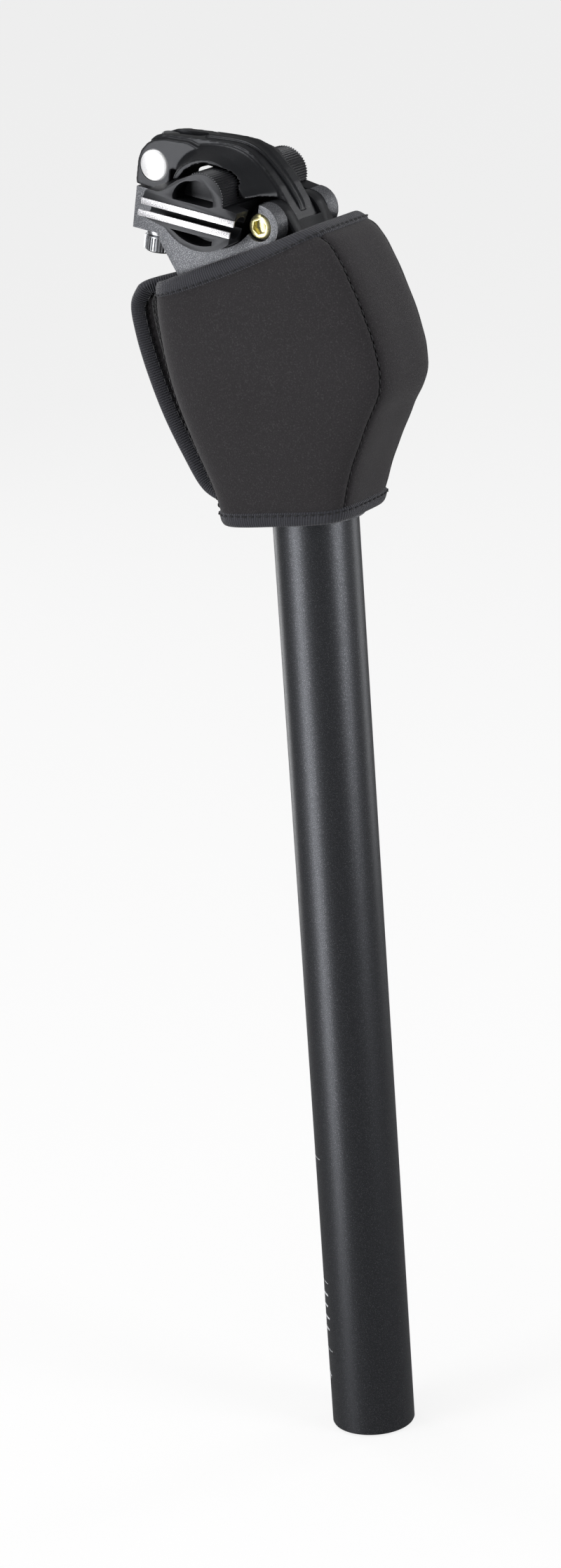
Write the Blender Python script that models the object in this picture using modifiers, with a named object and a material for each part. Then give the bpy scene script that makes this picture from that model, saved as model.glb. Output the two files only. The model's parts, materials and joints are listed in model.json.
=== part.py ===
"""Suspension seatpost: a tube, a sprung parallelogram head, a two-rail saddle clamp and a neoprene cover.

Metres, +Z up along the tube, +X towards the front of the bike, +Y to the bike's left. The origin is
the centre of the tube's lower end.
"""

import bmesh
import bpy
from math import cos, pi, radians, sin

from mathutils import Matrix, Vector

# ---------------------------------------------------------------- driving dimensions
# Tube and what slides in it
TUBE_RADIUS = 0.0136
TUBE_WALL = 0.0023
TUBE_TOP = 0.320
GUIDE_LENGTH = 0.022
PLUNGER_ROD_RADIUS = 0.006
PLUNGER_FLANGE_THICK = 0.006
BUMPER_THICK = 0.009
SPRING_WIRE = 0.0030
SPRING_TURNS = 20
SEAT_THICK = 0.005
SEAT_SPIGOT = 0.014
PLUG_LENGTH = 0.018
PLUG_RECESS = 0.0015
PLUG_HEX = 0.0060

# Linkage: upper pivots on the bracket, lower pivots on the post head, as heights over the tube
FRONT_UPPER = Vector((-0.0025, 0, TUBE_TOP + 0.083))
FRONT_LOWER = Vector((0.022, 0, TUBE_TOP + 0.037))
REAR_UPPER = Vector((-0.027, 0, TUBE_TOP + 0.059))
REAR_LOWER = REAR_UPPER + FRONT_LOWER - FRONT_UPPER
AXLE_RADIUS = 0.004
REAR_AXLE_RADIUS = 0.0035
BUSH_WALL = 0.0011
LINK_HALF_WIDTH = 0.0117
LINK_EYE = 0.0066
REAR_LINK_EYE = 0.0062
FRONT_BOSS = 0.0083
ROLLER_ARM = 0.0225
ROLLER_ARM_ANGLE = radians(158)
ROLLER_RADIUS = 0.0070
ROLLER_HALF_WIDTH = 0.0042
ROLLER_AXLE_RADIUS = 0.0025
ARM_CHEEK = 0.0030
HEAD_CHEEK = 0.0036
COLLAR_WALL = 0.0018
COLLAR_INSIDE = 0.030
LUG_HALF = 0.0050
COLLAR_LENGTH = 0.0098
COLLAR_LIP = 0.0035

# Saddle clamp, in its own axes: u along the rails towards the front, v square to them
RAIL_CENTRE = FRONT_UPPER + Vector((-0.0211, 0, 0.0036))
RAIL_TILT = radians(-11.4)
RAIL_RADIUS = 0.0035
RAIL_SPACING = 0.044
CRADLE_HALF_WIDTH = 0.026
CRADLE_GAP = 0.0018
LIP_THICK = 0.0020
TILT_AXIS_UV = (0.0043, 0.0069)
TOOTHED_RADIUS = 0.0071
EAR_RADIUS = 0.0086
LOWER_RADIUS = 0.0162
POCKET_DEPTH = 0.008
BRACKET_HALF_WIDTH = 0.0185
BRACKET_WALL = 0.0063
BOLT_U = -0.0230
NUT_V = 0.0084
NUT_RADIUS = 0.0050
ARCH_BLOCK_HALF = 0.0088
BOLT_RADIUS = 0.0030
BOLT_HEAD_RADIUS = 0.0051
BOLT_HEAD_HEIGHT = 0.0052
BOLT_TIP_V = 0.0172
WASHER_THICK = 0.0016
BOSS_BOTTOM_V = -0.0128
ARCH_TAIL_HALF = 0.0065
ARCH_TAIL_RADIUS = 0.0064
HOOD_HALF_WIDTH = 0.0170

# Neoprene cover
NEOPRENE = 0.0025
HEM_RADIUS = 0.0022
BINDING_RADIUS = 0.0019
FLAP_Y = 0.005
RING_POWER = 4.0

# Side outline of the cover on its middle plane, from the hem up, as X and height over the tube
FRONT_LINE = (
    (0.0183, -0.0070), (0.0228, 0.0070), (0.0305, 0.0230), (0.0362, 0.0345),
    (0.0350, 0.0485), (0.0282, 0.0670), (0.0216, 0.0785), (0.0146, 0.0822),
)
REAR_LINE = (
    (-0.0268, -0.0110), (-0.0290, 0.0000), (-0.0345, 0.0130), (-0.0395, 0.0260),
    (-0.0425, 0.0370), (-0.0440, 0.0480), (-0.0445, 0.0560), (-0.0435, 0.0630),
)
FLAP_LINE = (
    (-0.0345, -0.0105), (-0.0430, -0.0060), (-0.0497, 0.0050), (-0.0560, 0.0180),
    (-0.0610, 0.0320), (-0.0640, 0.0440), (-0.0648, 0.0535), (-0.0610, 0.0600),
)
# Half the cover's width at the same levels
HALF_WIDTHS = (0.0195, 0.0215, 0.0228, 0.0235, 0.0236, 0.0236, 0.0233, 0.0230)
SEAM_ANGLE = 23
NEAR_REAR_ANGLE = 152
FAR_REAR_ANGLE = 146
LEVELS = 12
STRIP_THICK = 0.0010

# Clearances
GAP = 0.0003
RUNNING = 0.00008
SIDE_PLAY = 0.0004

# Facets around a full circle
FINE = 48
ROUND = 24
SMALL = 16

TUBE_BORE = TUBE_RADIUS - TUBE_WALL
SLIDER_RADIUS = TUBE_BORE - 0.0002
CHEEK_INNER = LINK_HALF_WIDTH + SIDE_PLAY
CHEEK_OUTER = CHEEK_INNER + HEAD_CHEEK
COLLAR_RADIUS = TUBE_RADIUS + GAP + COLLAR_WALL
COLLAR_TOP = TUBE_TOP + COLLAR_LIP
EYE_BORE = AXLE_RADIUS + RUNNING
REAR_EYE_BORE = REAR_AXLE_RADIUS + RUNNING
ROLLER = FRONT_LOWER + ROLLER_ARM * Vector((cos(ROLLER_ARM_ANGLE), 0, sin(ROLLER_ARM_ANGLE)))
ARM_INNER = ROLLER_HALF_WIDTH + SIDE_PLAY
ARM_OUTER = ARM_INNER + ARM_CHEEK
REAR_ARM_INNER = ARM_OUTER + 2 * SIDE_PLAY
PLUNGER_TOP = ROLLER.z - ROLLER_RADIUS - GAP
GUIDE_BOTTOM = TUBE_TOP - GUIDE_LENGTH
BUMPER_TOP = GUIDE_BOTTOM - GAP
BUMPER_BOTTOM = BUMPER_TOP - BUMPER_THICK
FLANGE_TOP = BUMPER_BOTTOM - GAP
FLANGE_BOTTOM = FLANGE_TOP - PLUNGER_FLANGE_THICK
SPRING_TOP = FLANGE_BOTTOM - GAP
SEAT_BOTTOM = PLUG_RECESS + PLUG_LENGTH + GAP
SPRING_BOTTOM = SEAT_BOTTOM + SEAT_THICK + GAP
SPRING_COIL_RADIUS = SLIDER_RADIUS - 0.0008 - SPRING_WIRE / 2
BRACKET_INNER = BRACKET_HALF_WIDTH - BRACKET_WALL

PARTS = "suspension_seatpost"
CUTTERS = "cutters"

COLOURS = {
    "anodised": ((0.030, 0.032, 0.036), 0.42, 0.9),
    "forged_dark": ((0.045, 0.047, 0.052), 0.40, 0.85),
    "forged_grey": ((0.21, 0.215, 0.23), 0.50, 0.9),
    "bright": ((0.78, 0.78, 0.80), 0.28, 1.0),
    "steel": ((0.50, 0.51, 0.53), 0.32, 1.0),
    "zinc": ((0.76, 0.68, 0.36), 0.30, 1.0),
    "polymer": ((0.055, 0.055, 0.058), 0.55, 0.0),
    "bush": ((0.62, 0.56, 0.36), 0.50, 0.0),
    "elastomer": ((0.02, 0.02, 0.02), 0.80, 0.0),
    "neoprene": ((0.016, 0.014, 0.016), 0.95, 0.0),
    "binding": ((0.022, 0.023, 0.030), 0.90, 0.0),
}


# ---------------------------------------------------------------- scene and materials
def clear_scene():
    for thing in list(bpy.data.objects):
        bpy.data.objects.remove(thing, do_unlink=True)


def collection(name):
    made = bpy.data.collections.new(name)
    bpy.context.scene.collection.children.link(made)
    return made


def material(name, finish):
    colour, roughness, metallic = COLOURS[finish]
    made = bpy.data.materials.new(name)
    made.use_nodes = True
    shader = made.node_tree.nodes["Principled BSDF"]
    shader.inputs["Base Color"].default_value = (*colour, 1)
    shader.inputs["Roughness"].default_value = roughness
    shader.inputs["Metallic"].default_value = metallic
    return made


def dress(thing, finish):
    """Gives a sub-part its own material and puts it in the parts collection."""
    thing.data.materials.clear()
    thing.data.materials.append(material(thing.name + "_finish", finish))
    if thing.type == "MESH":
        thing.data.shade_smooth()
        thing.data.set_sharp_from_angle(angle=radians(30))
    bpy.data.collections[PARTS].objects.link(thing)
    return thing


def hide_away(thing):
    """Makes a helper shape a cutter: wire only, and never rendered."""
    thing.hide_render = True
    thing.display_type = "WIRE"
    bpy.data.collections[CUTTERS].objects.link(thing)
    return thing


def boolean(thing, other, operation):
    step = thing.modifiers.new(other.name, "BOOLEAN")
    step.operation = operation
    step.solver = "EXACT"
    step.object = hide_away(other)
    return thing


def cut(thing, *others):
    for other in others:
        boolean(thing, other, "DIFFERENCE")
    return thing


def join(thing, *others):
    for other in others:
        boolean(thing, other, "UNION")
    return thing


# ---------------------------------------------------------------- outlines
def arc(centre, radius, start, end, steps):
    """Points on a circle from one angle to another, both in degrees, ends included."""
    angles = [radians(start + (end - start) * i / steps) for i in range(steps + 1)]
    return [(centre[0] + radius * cos(a), centre[1] + radius * sin(a)) for a in angles]


def belt(circles, steps=ROUND):
    """The outline of a belt drawn tight around circles given as (x, z, radius)."""
    points = sorted({p for x, z, r in circles for p in arc((x, z), r, 0, 360, steps)[:-1]})
    half = []
    for ordered in (points, points[::-1]):
        chain = []
        for p in ordered:
            while len(chain) > 1 and turn(chain[-2], chain[-1], p) <= 1e-12:
                chain.pop()
            chain.append(p)
        half.append(chain[:-1])
    return half[0] + half[1]


def turn(a, b, c):
    return (b[0] - a[0]) * (c[1] - a[1]) - (b[1] - a[1]) * (c[0] - a[0])


def xz(point):
    return (point.x, point.z)


def from_uv(u, v):
    """A point of the clamp's own axes in the frame's X and Z."""
    x = RAIL_CENTRE.x + u * cos(RAIL_TILT) - v * sin(RAIL_TILT)
    return (x, RAIL_CENTRE.z + u * sin(RAIL_TILT) + v * cos(RAIL_TILT))


def uv_of(point):
    x, z = point.x - RAIL_CENTRE.x, point.z - RAIL_CENTRE.z
    return (x * cos(RAIL_TILT) + z * sin(RAIL_TILT), z * cos(RAIL_TILT) - x * sin(RAIL_TILT))


def clamp_outline(points):
    return [from_uv(u, v) for u, v in points]


def on_axis(u, v, y=0.0):
    x, z = from_uv(u, v)
    return Vector((x, y, z))


TILT_AXIS = on_axis(*TILT_AXIS_UV)
FRONT_UPPER_UV = uv_of(FRONT_UPPER)


# ---------------------------------------------------------------- shapes
def plate(name, outline, low_y, high_y, origin=Vector()):
    """A flat outline in X and Z, filled and extruded from low_y to high_y, as a welded mesh."""
    drawn = bpy.data.curves.new(name, "CURVE")
    drawn.dimensions = "2D"
    drawn.fill_mode = "BOTH"
    drawn.extrude = (high_y - low_y) / 2
    spline = drawn.splines.new("POLY")
    spline.points.add(len(outline) - 1)
    for point, (x, z) in zip(spline.points, outline):
        point.co = (x, z, 0, 1)
    spline.use_cyclic_u = True
    flat = bpy.data.objects.new(name + "_outline", drawn)
    bpy.context.scene.collection.objects.link(flat)
    bpy.context.view_layer.update()
    mesh = bpy.data.meshes.new_from_object(flat.evaluated_get(bpy.context.evaluated_depsgraph_get()))
    bpy.data.objects.remove(flat)
    upright = Matrix.Translation((0, (low_y + high_y) / 2, 0)) @ Matrix.Rotation(pi / 2, 4, "X")
    return settled(name, mesh, Matrix.Translation(-origin) @ upright, origin)


def settled(name, mesh, placing, origin):
    """An object at origin whose mesh is welded, placed and turned to face outwards."""
    work = bmesh.new()
    work.from_mesh(mesh)
    bmesh.ops.remove_doubles(work, verts=work.verts, dist=1e-6)
    bmesh.ops.transform(work, matrix=placing, verts=work.verts)
    bmesh.ops.recalc_face_normals(work, faces=work.faces)
    work.to_mesh(mesh)
    work.free()
    made = bpy.data.objects.new(name, mesh)
    made.location = origin
    return made


def rod(name, centre, radius, low_y, high_y, origin=None, steps=ROUND):
    """A plain round bar along Y through centre."""
    origin = centre if origin is None else origin
    mesh = bpy.data.meshes.new(name)
    work = bmesh.new()
    bmesh.ops.create_cone(
        work, cap_ends=True, segments=steps, radius1=radius, radius2=radius, depth=high_y - low_y
    )
    work.to_mesh(mesh)
    work.free()
    place = Matrix.Translation((centre.x, (low_y + high_y) / 2, centre.z)) @ Matrix.Rotation(pi / 2, 4, "X")
    return settled(name, mesh, Matrix.Translation(-origin) @ place, origin)


def turned(name, profile, origin=Vector(), direction=(0, 0, 1), steps=ROUND, closed=False):
    """A profile of (radius, height) points, top to bottom on its outer side, turned about direction."""
    mesh = bpy.data.meshes.new(name)
    count = len(profile)
    edges = [(i, i + 1) for i in range(count - 1)] + ([(count - 1, 0)] if closed else [])
    mesh.from_pydata([(r, 0, h) for r, h in profile], edges, [])
    made = bpy.data.objects.new(name, mesh)
    made.location = origin
    made.rotation_euler = Vector((0, 0, 1)).rotation_difference(Vector(direction)).to_euler()
    spin = made.modifiers.new("turn", "SCREW")
    spin.steps = steps
    spin.render_steps = steps
    spin.use_merge_vertices = True
    spin.merge_threshold = 1e-6
    return made


def ring(name, inner, outer, low, high, origin=Vector(), direction=(0, 0, 1), steps=ROUND):
    profile = [(inner, high), (outer, high), (outer, low), (inner, low)]
    return turned(name, profile, origin, direction, steps, closed=True)


def hexagon(name, across, low, high, origin=Vector(), direction=(0, 0, 1)):
    """A hexagonal bar along direction, for sockets."""
    mesh = bpy.data.meshes.new(name)
    work = bmesh.new()
    corner = across / 2 / cos(pi / 6)
    bmesh.ops.create_cone(
        work, cap_ends=True, segments=6, radius1=corner, radius2=corner, depth=high - low
    )
    work.to_mesh(mesh)
    work.free()
    facing = Vector((0, 0, 1)).rotation_difference(Vector(direction)).to_matrix().to_4x4()
    return settled(name, mesh, facing @ Matrix.Translation((0, 0, (low + high) / 2)), origin)


# ---------------------------------------------------------------- post, head and spring
def make_tube():
    inner, outer, bevel = TUBE_BORE, TUBE_RADIUS, 0.0005
    profile = [(inner, TUBE_TOP), (outer, TUBE_TOP), (outer, bevel), (outer - bevel, 0), (inner, 0)]
    return [dress(turned("post_tube", profile, steps=FINE, closed=True), "anodised")]


def make_head():
    """Collar round the tube's top, two cheeks up to the lower pivots, and a web between them in front."""
    head = ring(
        "post_head",
        TUBE_RADIUS + GAP,
        COLLAR_RADIUS,
        COLLAR_TOP - COLLAR_LIP - COLLAR_LENGTH,
        COLLAR_TOP,
        steps=FINE,
    )
    lip = ring(
        "collar_lip",
        TUBE_BORE + 0.0012,
        COLLAR_RADIUS - 0.0008,
        TUBE_TOP + GAP,
        COLLAR_TOP - 0.0002,
        steps=FINE,
    )
    join(head, lip)
    cheek_foot = COLLAR_TOP - COLLAR_LIP - COLLAR_LENGTH + 0.006
    tower = [(*xz(REAR_LOWER), 0.0080), (-0.008, cheek_foot, 0.004), (0.008, cheek_foot, 0.004)]
    brace = [(*xz(FRONT_LOWER), 0.0082), (*xz(REAR_LOWER), 0.0066), (0.006, cheek_foot + 0.006, 0.0035)]
    for side, sign in (("left", 1), ("right", -1)):
        low, high = sorted((sign * CHEEK_INNER, sign * CHEEK_OUTER))
        join(head, plate(f"tower_{side}", belt(tower), low, high))
        join(head, plate(f"brace_{side}", belt(brace), low + 0.0001, high - 0.0001))
    web = belt([(0.0150, TUBE_TOP + 0.0115, 0.0022), (0.0222, TUBE_TOP + 0.0215, 0.0022)], SMALL)
    join(head, plate("front_web", web, -CHEEK_OUTER + 0.0006, CHEEK_OUTER - 0.0006))
    cut(
        head,
        turned(
            "tube_seat",
            [
                (0, TUBE_TOP + GAP),
                (TUBE_RADIUS + GAP, TUBE_TOP + GAP),
                (TUBE_RADIUS + GAP, TUBE_TOP - COLLAR_INSIDE),
                (0, TUBE_TOP - COLLAR_INSIDE),
            ],
            steps=FINE,
        ),
        rod("front_axle_hole", FRONT_LOWER, EYE_BORE, -0.03, 0.03),
        rod("rear_pin_hole", REAR_LOWER, REAR_EYE_BORE, -0.03, 0.03),
    )
    return [dress(head, "forged_grey")]


def make_lower_pivots():
    """One long axle with a screw in front, and two headed pins at the rear that leave the middle free."""
    head_thick, head_radius = 0.0016, 0.0060
    made = []
    half = CHEEK_OUTER
    profile = [
        (0, half),
        (AXLE_RADIUS, half),
        (AXLE_RADIUS, -half),
        (0.0027, -half),
        (0.0027, -half + 0.012),
        (0, -half + 0.012),
    ]
    made.append(turned("front_lower_axle", profile, FRONT_LOWER, (0, 1, 0)))
    cap_face = half + GAP + head_thick
    for side, sign in (("left", 1), ("right", -1)):
        shank = half - 0.008 if sign < 0 else half + GAP
        cap = [
            (0, cap_face),
            (head_radius - 0.0004, cap_face),
            (head_radius, cap_face - 0.0004),
            (head_radius, half + GAP),
        ]
        if sign < 0:
            cap += [(0.0024, half + GAP), (0.0024, shank), (0, shank)]
            cap_name = "front_axle_screw"
        else:
            cap += [(0, half + GAP)]
            cap_name = "front_axle_cap"
        screw = turned(cap_name, cap, FRONT_LOWER, (0, sign, 0))
        cut(
            screw,
            hexagon(
                cap_name + "_socket",
                0.004,
                cap_face - 0.0011,
                cap_face + 0.002,
                FRONT_LOWER,
                (0, sign, 0),
            ),
        )
        made.append(screw)
        inner = REAR_ARM_INNER + 0.0002
        pin = [
            (0, cap_face),
            (0.0052, cap_face),
            (0.0052, half + GAP),
            (REAR_AXLE_RADIUS, half + GAP),
            (REAR_AXLE_RADIUS, inner),
            (0, inner),
        ]
        pin_name = f"rear_lower_pin_{side}"
        part = turned(pin_name, pin, REAR_LOWER, (0, sign, 0))
        cut(
            part,
            hexagon(
                pin_name + "_socket",
                0.003,
                cap_face - 0.0010,
                cap_face + 0.001,
                REAR_LOWER,
                (0, sign, 0),
            ),
        )
        made.append(part)
    return [dress(part, "steel") for part in made]


def make_guide():
    bore = PLUNGER_ROD_RADIUS + RUNNING
    guide = ring("plunger_guide", bore, SLIDER_RADIUS, GUIDE_BOTTOM, TUBE_TOP - GAP, steps=FINE)
    return [dress(guide, "polymer")]


def make_plunger():
    origin = Vector((0, 0, FLANGE_TOP))
    rod_r, flange_r = PLUNGER_ROD_RADIUS, SLIDER_RADIUS
    top, bottom = PLUNGER_TOP - FLANGE_TOP, FLANGE_BOTTOM - FLANGE_TOP
    spigot_r = SPRING_COIL_RADIUS - SPRING_WIRE / 2 - 0.0006
    spigot = bottom - 0.016
    profile = [
        (0, top),
        (rod_r - 0.0006, top),
        (rod_r, top - 0.0006),
        (rod_r, 0),
        (flange_r, 0),
        (flange_r, bottom),
    ]
    profile += [(spigot_r, bottom), (spigot_r, spigot + 0.001), (spigot_r - 0.001, spigot), (0, spigot)]
    plunger = dress(turned("plunger", profile, origin), "steel")
    inner = rod_r + RUNNING
    bumper = ring(
        "topout_bumper",
        inner,
        flange_r - 0.0010,
        BUMPER_BOTTOM - FLANGE_TOP,
        BUMPER_TOP - FLANGE_TOP,
        origin,
    )
    return [plunger, dress(bumper, "elastomer")]


def make_spring():
    """A round-wire coil, its first and last turn closed up so that the ends sit flat."""
    drawn = bpy.data.curves.new("main_spring", "CURVE")
    drawn.dimensions = "3D"
    drawn.bevel_depth = SPRING_WIRE / 2
    drawn.bevel_resolution = 1
    drawn.use_fill_caps = True
    spline = drawn.splines.new("POLY")
    per_turn = 8
    count = SPRING_TURNS * per_turn
    spline.points.add(count)
    low, high = SPRING_BOTTOM + SPRING_WIRE / 2, SPRING_TOP - SPRING_WIRE / 2
    closed_rise = 1.08 * SPRING_WIRE
    rise = (high - low - 2 * closed_rise) / (SPRING_TURNS - 2)
    for i, point in enumerate(spline.points):
        turns = i / per_turn
        height = closed_rise * min(turns, 1) + rise * max(0, min(turns - 1, SPRING_TURNS - 2))
        height += closed_rise * max(0, turns - SPRING_TURNS + 1)
        angle = 2 * pi * turns
        point.co = (SPRING_COIL_RADIUS * cos(angle), SPRING_COIL_RADIUS * sin(angle), low + height, 1)
    return [dress(bpy.data.objects.new("main_spring", drawn), "steel")]


def make_preload():
    """Spring seat with a spigot in the coil, and the threaded plug that lifts it."""
    origin = Vector((0, 0, SEAT_BOTTOM))
    spigot_r = SPRING_COIL_RADIUS - SPRING_WIRE / 2 - 0.0006
    top = SEAT_THICK
    seat = [
        (0, top + SEAT_SPIGOT),
        (spigot_r - 0.001, top + SEAT_SPIGOT),
        (spigot_r, top + SEAT_SPIGOT - 0.001),
    ]
    seat += [(spigot_r, top), (SLIDER_RADIUS, top), (SLIDER_RADIUS, 0), (0, 0)]
    made = [dress(turned("spring_seat", seat, origin), "polymer")]
    foot, height = Vector((0, 0, PLUG_RECESS)), PLUG_LENGTH
    profile = [
        (0, height),
        (SLIDER_RADIUS - 0.001, height),
        (SLIDER_RADIUS, height - 0.001),
        (SLIDER_RADIUS, 0),
        (0, 0),
    ]
    plug = turned("preload_plug", profile, foot)
    cut(plug, hexagon("plug_socket", PLUG_HEX, -0.002, 0.009, foot))
    return made + [dress(plug, "steel")]


# ---------------------------------------------------------------- links
def make_front_link():
    """Two eyes at the upper pivot, a solid boss at the lower one, and a forked arm for the roller."""
    origin = FRONT_LOWER
    wide = LINK_HALF_WIDTH
    strut = belt([(*xz(FRONT_LOWER), FRONT_BOSS), (*xz(FRONT_UPPER), LINK_EYE)])
    link = plate("front_link", strut, -wide, wide, origin)
    arm = belt([(*xz(FRONT_LOWER), 0.0058), (*xz(ROLLER), 0.0042)])
    join(link, plate("roller_arm", arm, -ARM_OUTER, ARM_OUTER, origin))
    tail_slot = ARCH_TAIL_HALF + SIDE_PLAY
    direction = (FRONT_UPPER - FRONT_LOWER).normalized()
    high = FRONT_UPPER + direction * 0.018
    reach = belt([(*xz(FRONT_UPPER), ARCH_TAIL_RADIUS + 2 * SIDE_PLAY), (*xz(high), 0.018)], 40)
    cut(
        link,
        plate("tail_slot", reach, -tail_slot, tail_slot),
        rod("roller_slot", ROLLER, ROLLER_RADIUS + 0.0012, -ARM_INNER, ARM_INNER),
        rod("upper_eye", FRONT_UPPER, EYE_BORE + BUSH_WALL + GAP / 3, -0.03, 0.03),
        rod("lower_eye", FRONT_LOWER, EYE_BORE + BUSH_WALL + GAP / 3, -0.03, 0.03),
        rod("roller_axle_hole", ROLLER, ROLLER_AXLE_RADIUS + RUNNING, -0.03, 0.03, steps=SMALL),
    )
    made = [dress(link, "forged_dark")]
    made += bushes("front_upper_bush", FRONT_UPPER, EYE_BORE, tail_slot + GAP, wide - GAP)
    made += bushes("front_lower_bush", FRONT_LOWER, EYE_BORE, 0.0010, wide - GAP)
    return made


def bushes(name, centre, bore, inner, outer):
    made = []
    for side, sign in (("left", 1), ("right", -1)):
        bush = ring(f"{name}_{side}", bore, bore + BUSH_WALL, inner, outer, centre, (0, sign, 0), SMALL)
        made.append(dress(bush, "bush"))
    return made


def make_roller():
    axle = rod("roller_axle", ROLLER, ROLLER_AXLE_RADIUS, -ARM_OUTER, ARM_OUTER, steps=SMALL)
    bore, rim, half = ROLLER_AXLE_RADIUS + RUNNING, ROLLER_RADIUS, ROLLER_HALF_WIDTH
    profile = [
        (bore, half),
        (rim - 0.0005, half),
        (rim, half - 0.0005),
        (rim, 0.0005 - half),
        (rim - 0.0005, -half),
        (bore, -half),
    ]
    roller = turned("roller", profile, ROLLER, (0, 1, 0), closed=True)
    return [dress(axle, "steel")], [dress(roller, "polymer")]


def make_rear_link():
    """Two arms that pass either side of the plunger, joined by a web below the upper pivot."""
    origin = REAR_LOWER
    wide = LINK_HALF_WIDTH
    strut = belt([(*xz(REAR_LOWER), REAR_LINK_EYE), (*xz(REAR_UPPER), REAR_LINK_EYE)])
    link = plate("rear_link", strut, -wide, wide, origin)
    run = REAR_UPPER - REAR_LOWER
    web_end = REAR_LOWER + 0.52 * run
    lug_half = LUG_HALF + SIDE_PLAY
    cut(
        link,
        plate(
            "plunger_way",
            belt([(*xz(REAR_LOWER - 0.3 * run), 0.0095), (*xz(web_end), 0.0075)]),
            -REAR_ARM_INNER,
            REAR_ARM_INNER,
        ),
        plate(
            "lug_slot",
            belt([(*xz(REAR_UPPER), 0.0078), (*xz(REAR_UPPER + 0.3 * run), 0.011)]),
            -lug_half,
            lug_half,
        ),
        rod("rear_upper_eye", REAR_UPPER, REAR_EYE_BORE + BUSH_WALL + GAP / 3, -0.03, 0.03),
        rod("rear_lower_eye", REAR_LOWER, REAR_EYE_BORE + BUSH_WALL + GAP / 3, -0.03, 0.03),
    )
    made = [dress(link, "forged_dark")]
    made += bushes("rear_upper_bush", REAR_UPPER, REAR_EYE_BORE, lug_half + GAP, wide - GAP)
    made += bushes("rear_lower_bush", REAR_LOWER, REAR_EYE_BORE, REAR_ARM_INNER + GAP, wide - GAP)
    return made


# ---------------------------------------------------------------- clamp bracket and its pivots

def make_bracket():
    """Side walls with a round seat for the lower cradle, a boss at the rear for the bolt, and a lug below."""
    origin = FRONT_UPPER
    seat = LOWER_RADIUS + GAP
    eye = (*FRONT_UPPER_UV, 0.0068)
    body = belt([(-0.0100, -0.0098, 0.0030), eye, (-0.0020, -0.0175, 0.0042), (0.0120, -0.0078, 0.0040)])
    low_wall = belt([(-0.0035, -0.0160, 0.0030), (-0.0010, -0.0190, 0.0036), (0.0045, -0.0135, 0.0030)])
    bracket = plate("clamp_bracket", clamp_outline(body), -BRACKET_HALF_WIDTH, BRACKET_HALF_WIDTH, origin)
    half = BRACKET_HALF_WIDTH - 0.0002
    join(bracket, plate("bracket_leg", clamp_outline(low_wall), -half, half, origin))
    boss_outline = [(BOLT_U + 0.0062, 0.0003), (BOLT_U - 0.0062, 0.0003), (BOLT_U - 0.0062, BOSS_BOTTOM_V)]
    boss_outline += [
        (BOLT_U + 0.0062, BOSS_BOTTOM_V),
        (-0.0080, -0.0150),
        (-0.0060, -0.0100),
        (BOLT_U + 0.0062, -0.0062),
    ]
    join(bracket, plate("bolt_boss", clamp_outline(boss_outline), -0.0074, 0.0074, origin))
    down = (REAR_LOWER - REAR_UPPER).normalized()
    level = Vector((1, 0, -0.30)).normalized()
    fan = [(*xz(REAR_UPPER), REAR_LINK_EYE + 2 * SIDE_PLAY)]
    fan += [(*xz(REAR_UPPER + 0.03 * down), 0.012), (*xz(REAR_UPPER + 0.04 * level), 0.010)]
    cut(bracket, plate("rear_link_room", belt(fan), -BRACKET_INNER + GAP, BRACKET_INNER - GAP))
    lug = belt([(*xz(REAR_UPPER), 0.0060), (*from_uv(-0.002, -0.016), 0.0050)])
    join(bracket, plate("rear_lug", lug, -LUG_HALF, LUG_HALF, origin))
    inner = BRACKET_INNER
    clearing = belt([(*FRONT_UPPER_UV, 0.0082), (FRONT_UPPER_UV[0] + 0.02, FRONT_UPPER_UV[1] - 0.014, 0.012),
                     (FRONT_UPPER_UV[0] + 0.006, FRONT_UPPER_UV[1] + 0.02, 0.012)])
    sweep = belt([(0.0130, -0.0230, 0.0060), (FRONT_UPPER_UV[0] + 0.006, -0.0100, 0.0090)])
    cut(
        bracket,
        plate(
            "cradle_way",
            clamp_outline(belt([(*TILT_AXIS_UV, seat), (TILT_AXIS_UV[0], 0.03, seat)], FINE)),
            -0.03,
            0.03,
        ),
        plate(
            "cradle_dip",
            clamp_outline([(-0.0166, -0.0067), (-0.0030, -0.0067), (-0.0030, 0.001), (-0.0166, 0.001)]),
            -0.03,
            0.03,
        ),
        plate("front_clearing", clamp_outline(clearing), -inner, inner),
        plate("link_sweep", clamp_outline(sweep), -inner - GAP, inner + GAP),
        bolt_bar("boss_hole", BOLT_RADIUS + 0.0008, -0.03, 0.01),
        rod("axle_hole", FRONT_UPPER, EYE_BORE, -0.03, 0.03),
        rod("lug_hole", REAR_UPPER, REAR_EYE_BORE, -0.03, 0.03),
    )
    for side, sign in (("left", 1), ("right", -1)):
        low, high = sorted((sign * (BRACKET_HALF_WIDTH - 0.0032), sign * 0.03))
        cut(bracket, rod(f"screw_recess_{side}", FRONT_UPPER, 0.0030 + 0.0014, low, high))
    return [dress(bracket, "forged_grey")]


def bolt_bar(name, radius, low_v, high_v):
    """A round bar on the clamp bolt's axis between two heights."""
    mesh = bpy.data.meshes.new(name)
    work = bmesh.new()
    bmesh.ops.create_cone(
        work, cap_ends=True, segments=ROUND, radius1=radius, radius2=radius, depth=high_v - low_v
    )
    work.to_mesh(mesh)
    work.free()
    place = Matrix.Translation(on_axis(BOLT_U, (low_v + high_v) / 2)) @ Matrix.Rotation(-RAIL_TILT, 4, "Y")
    return settled(name, mesh, place, Vector())


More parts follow.
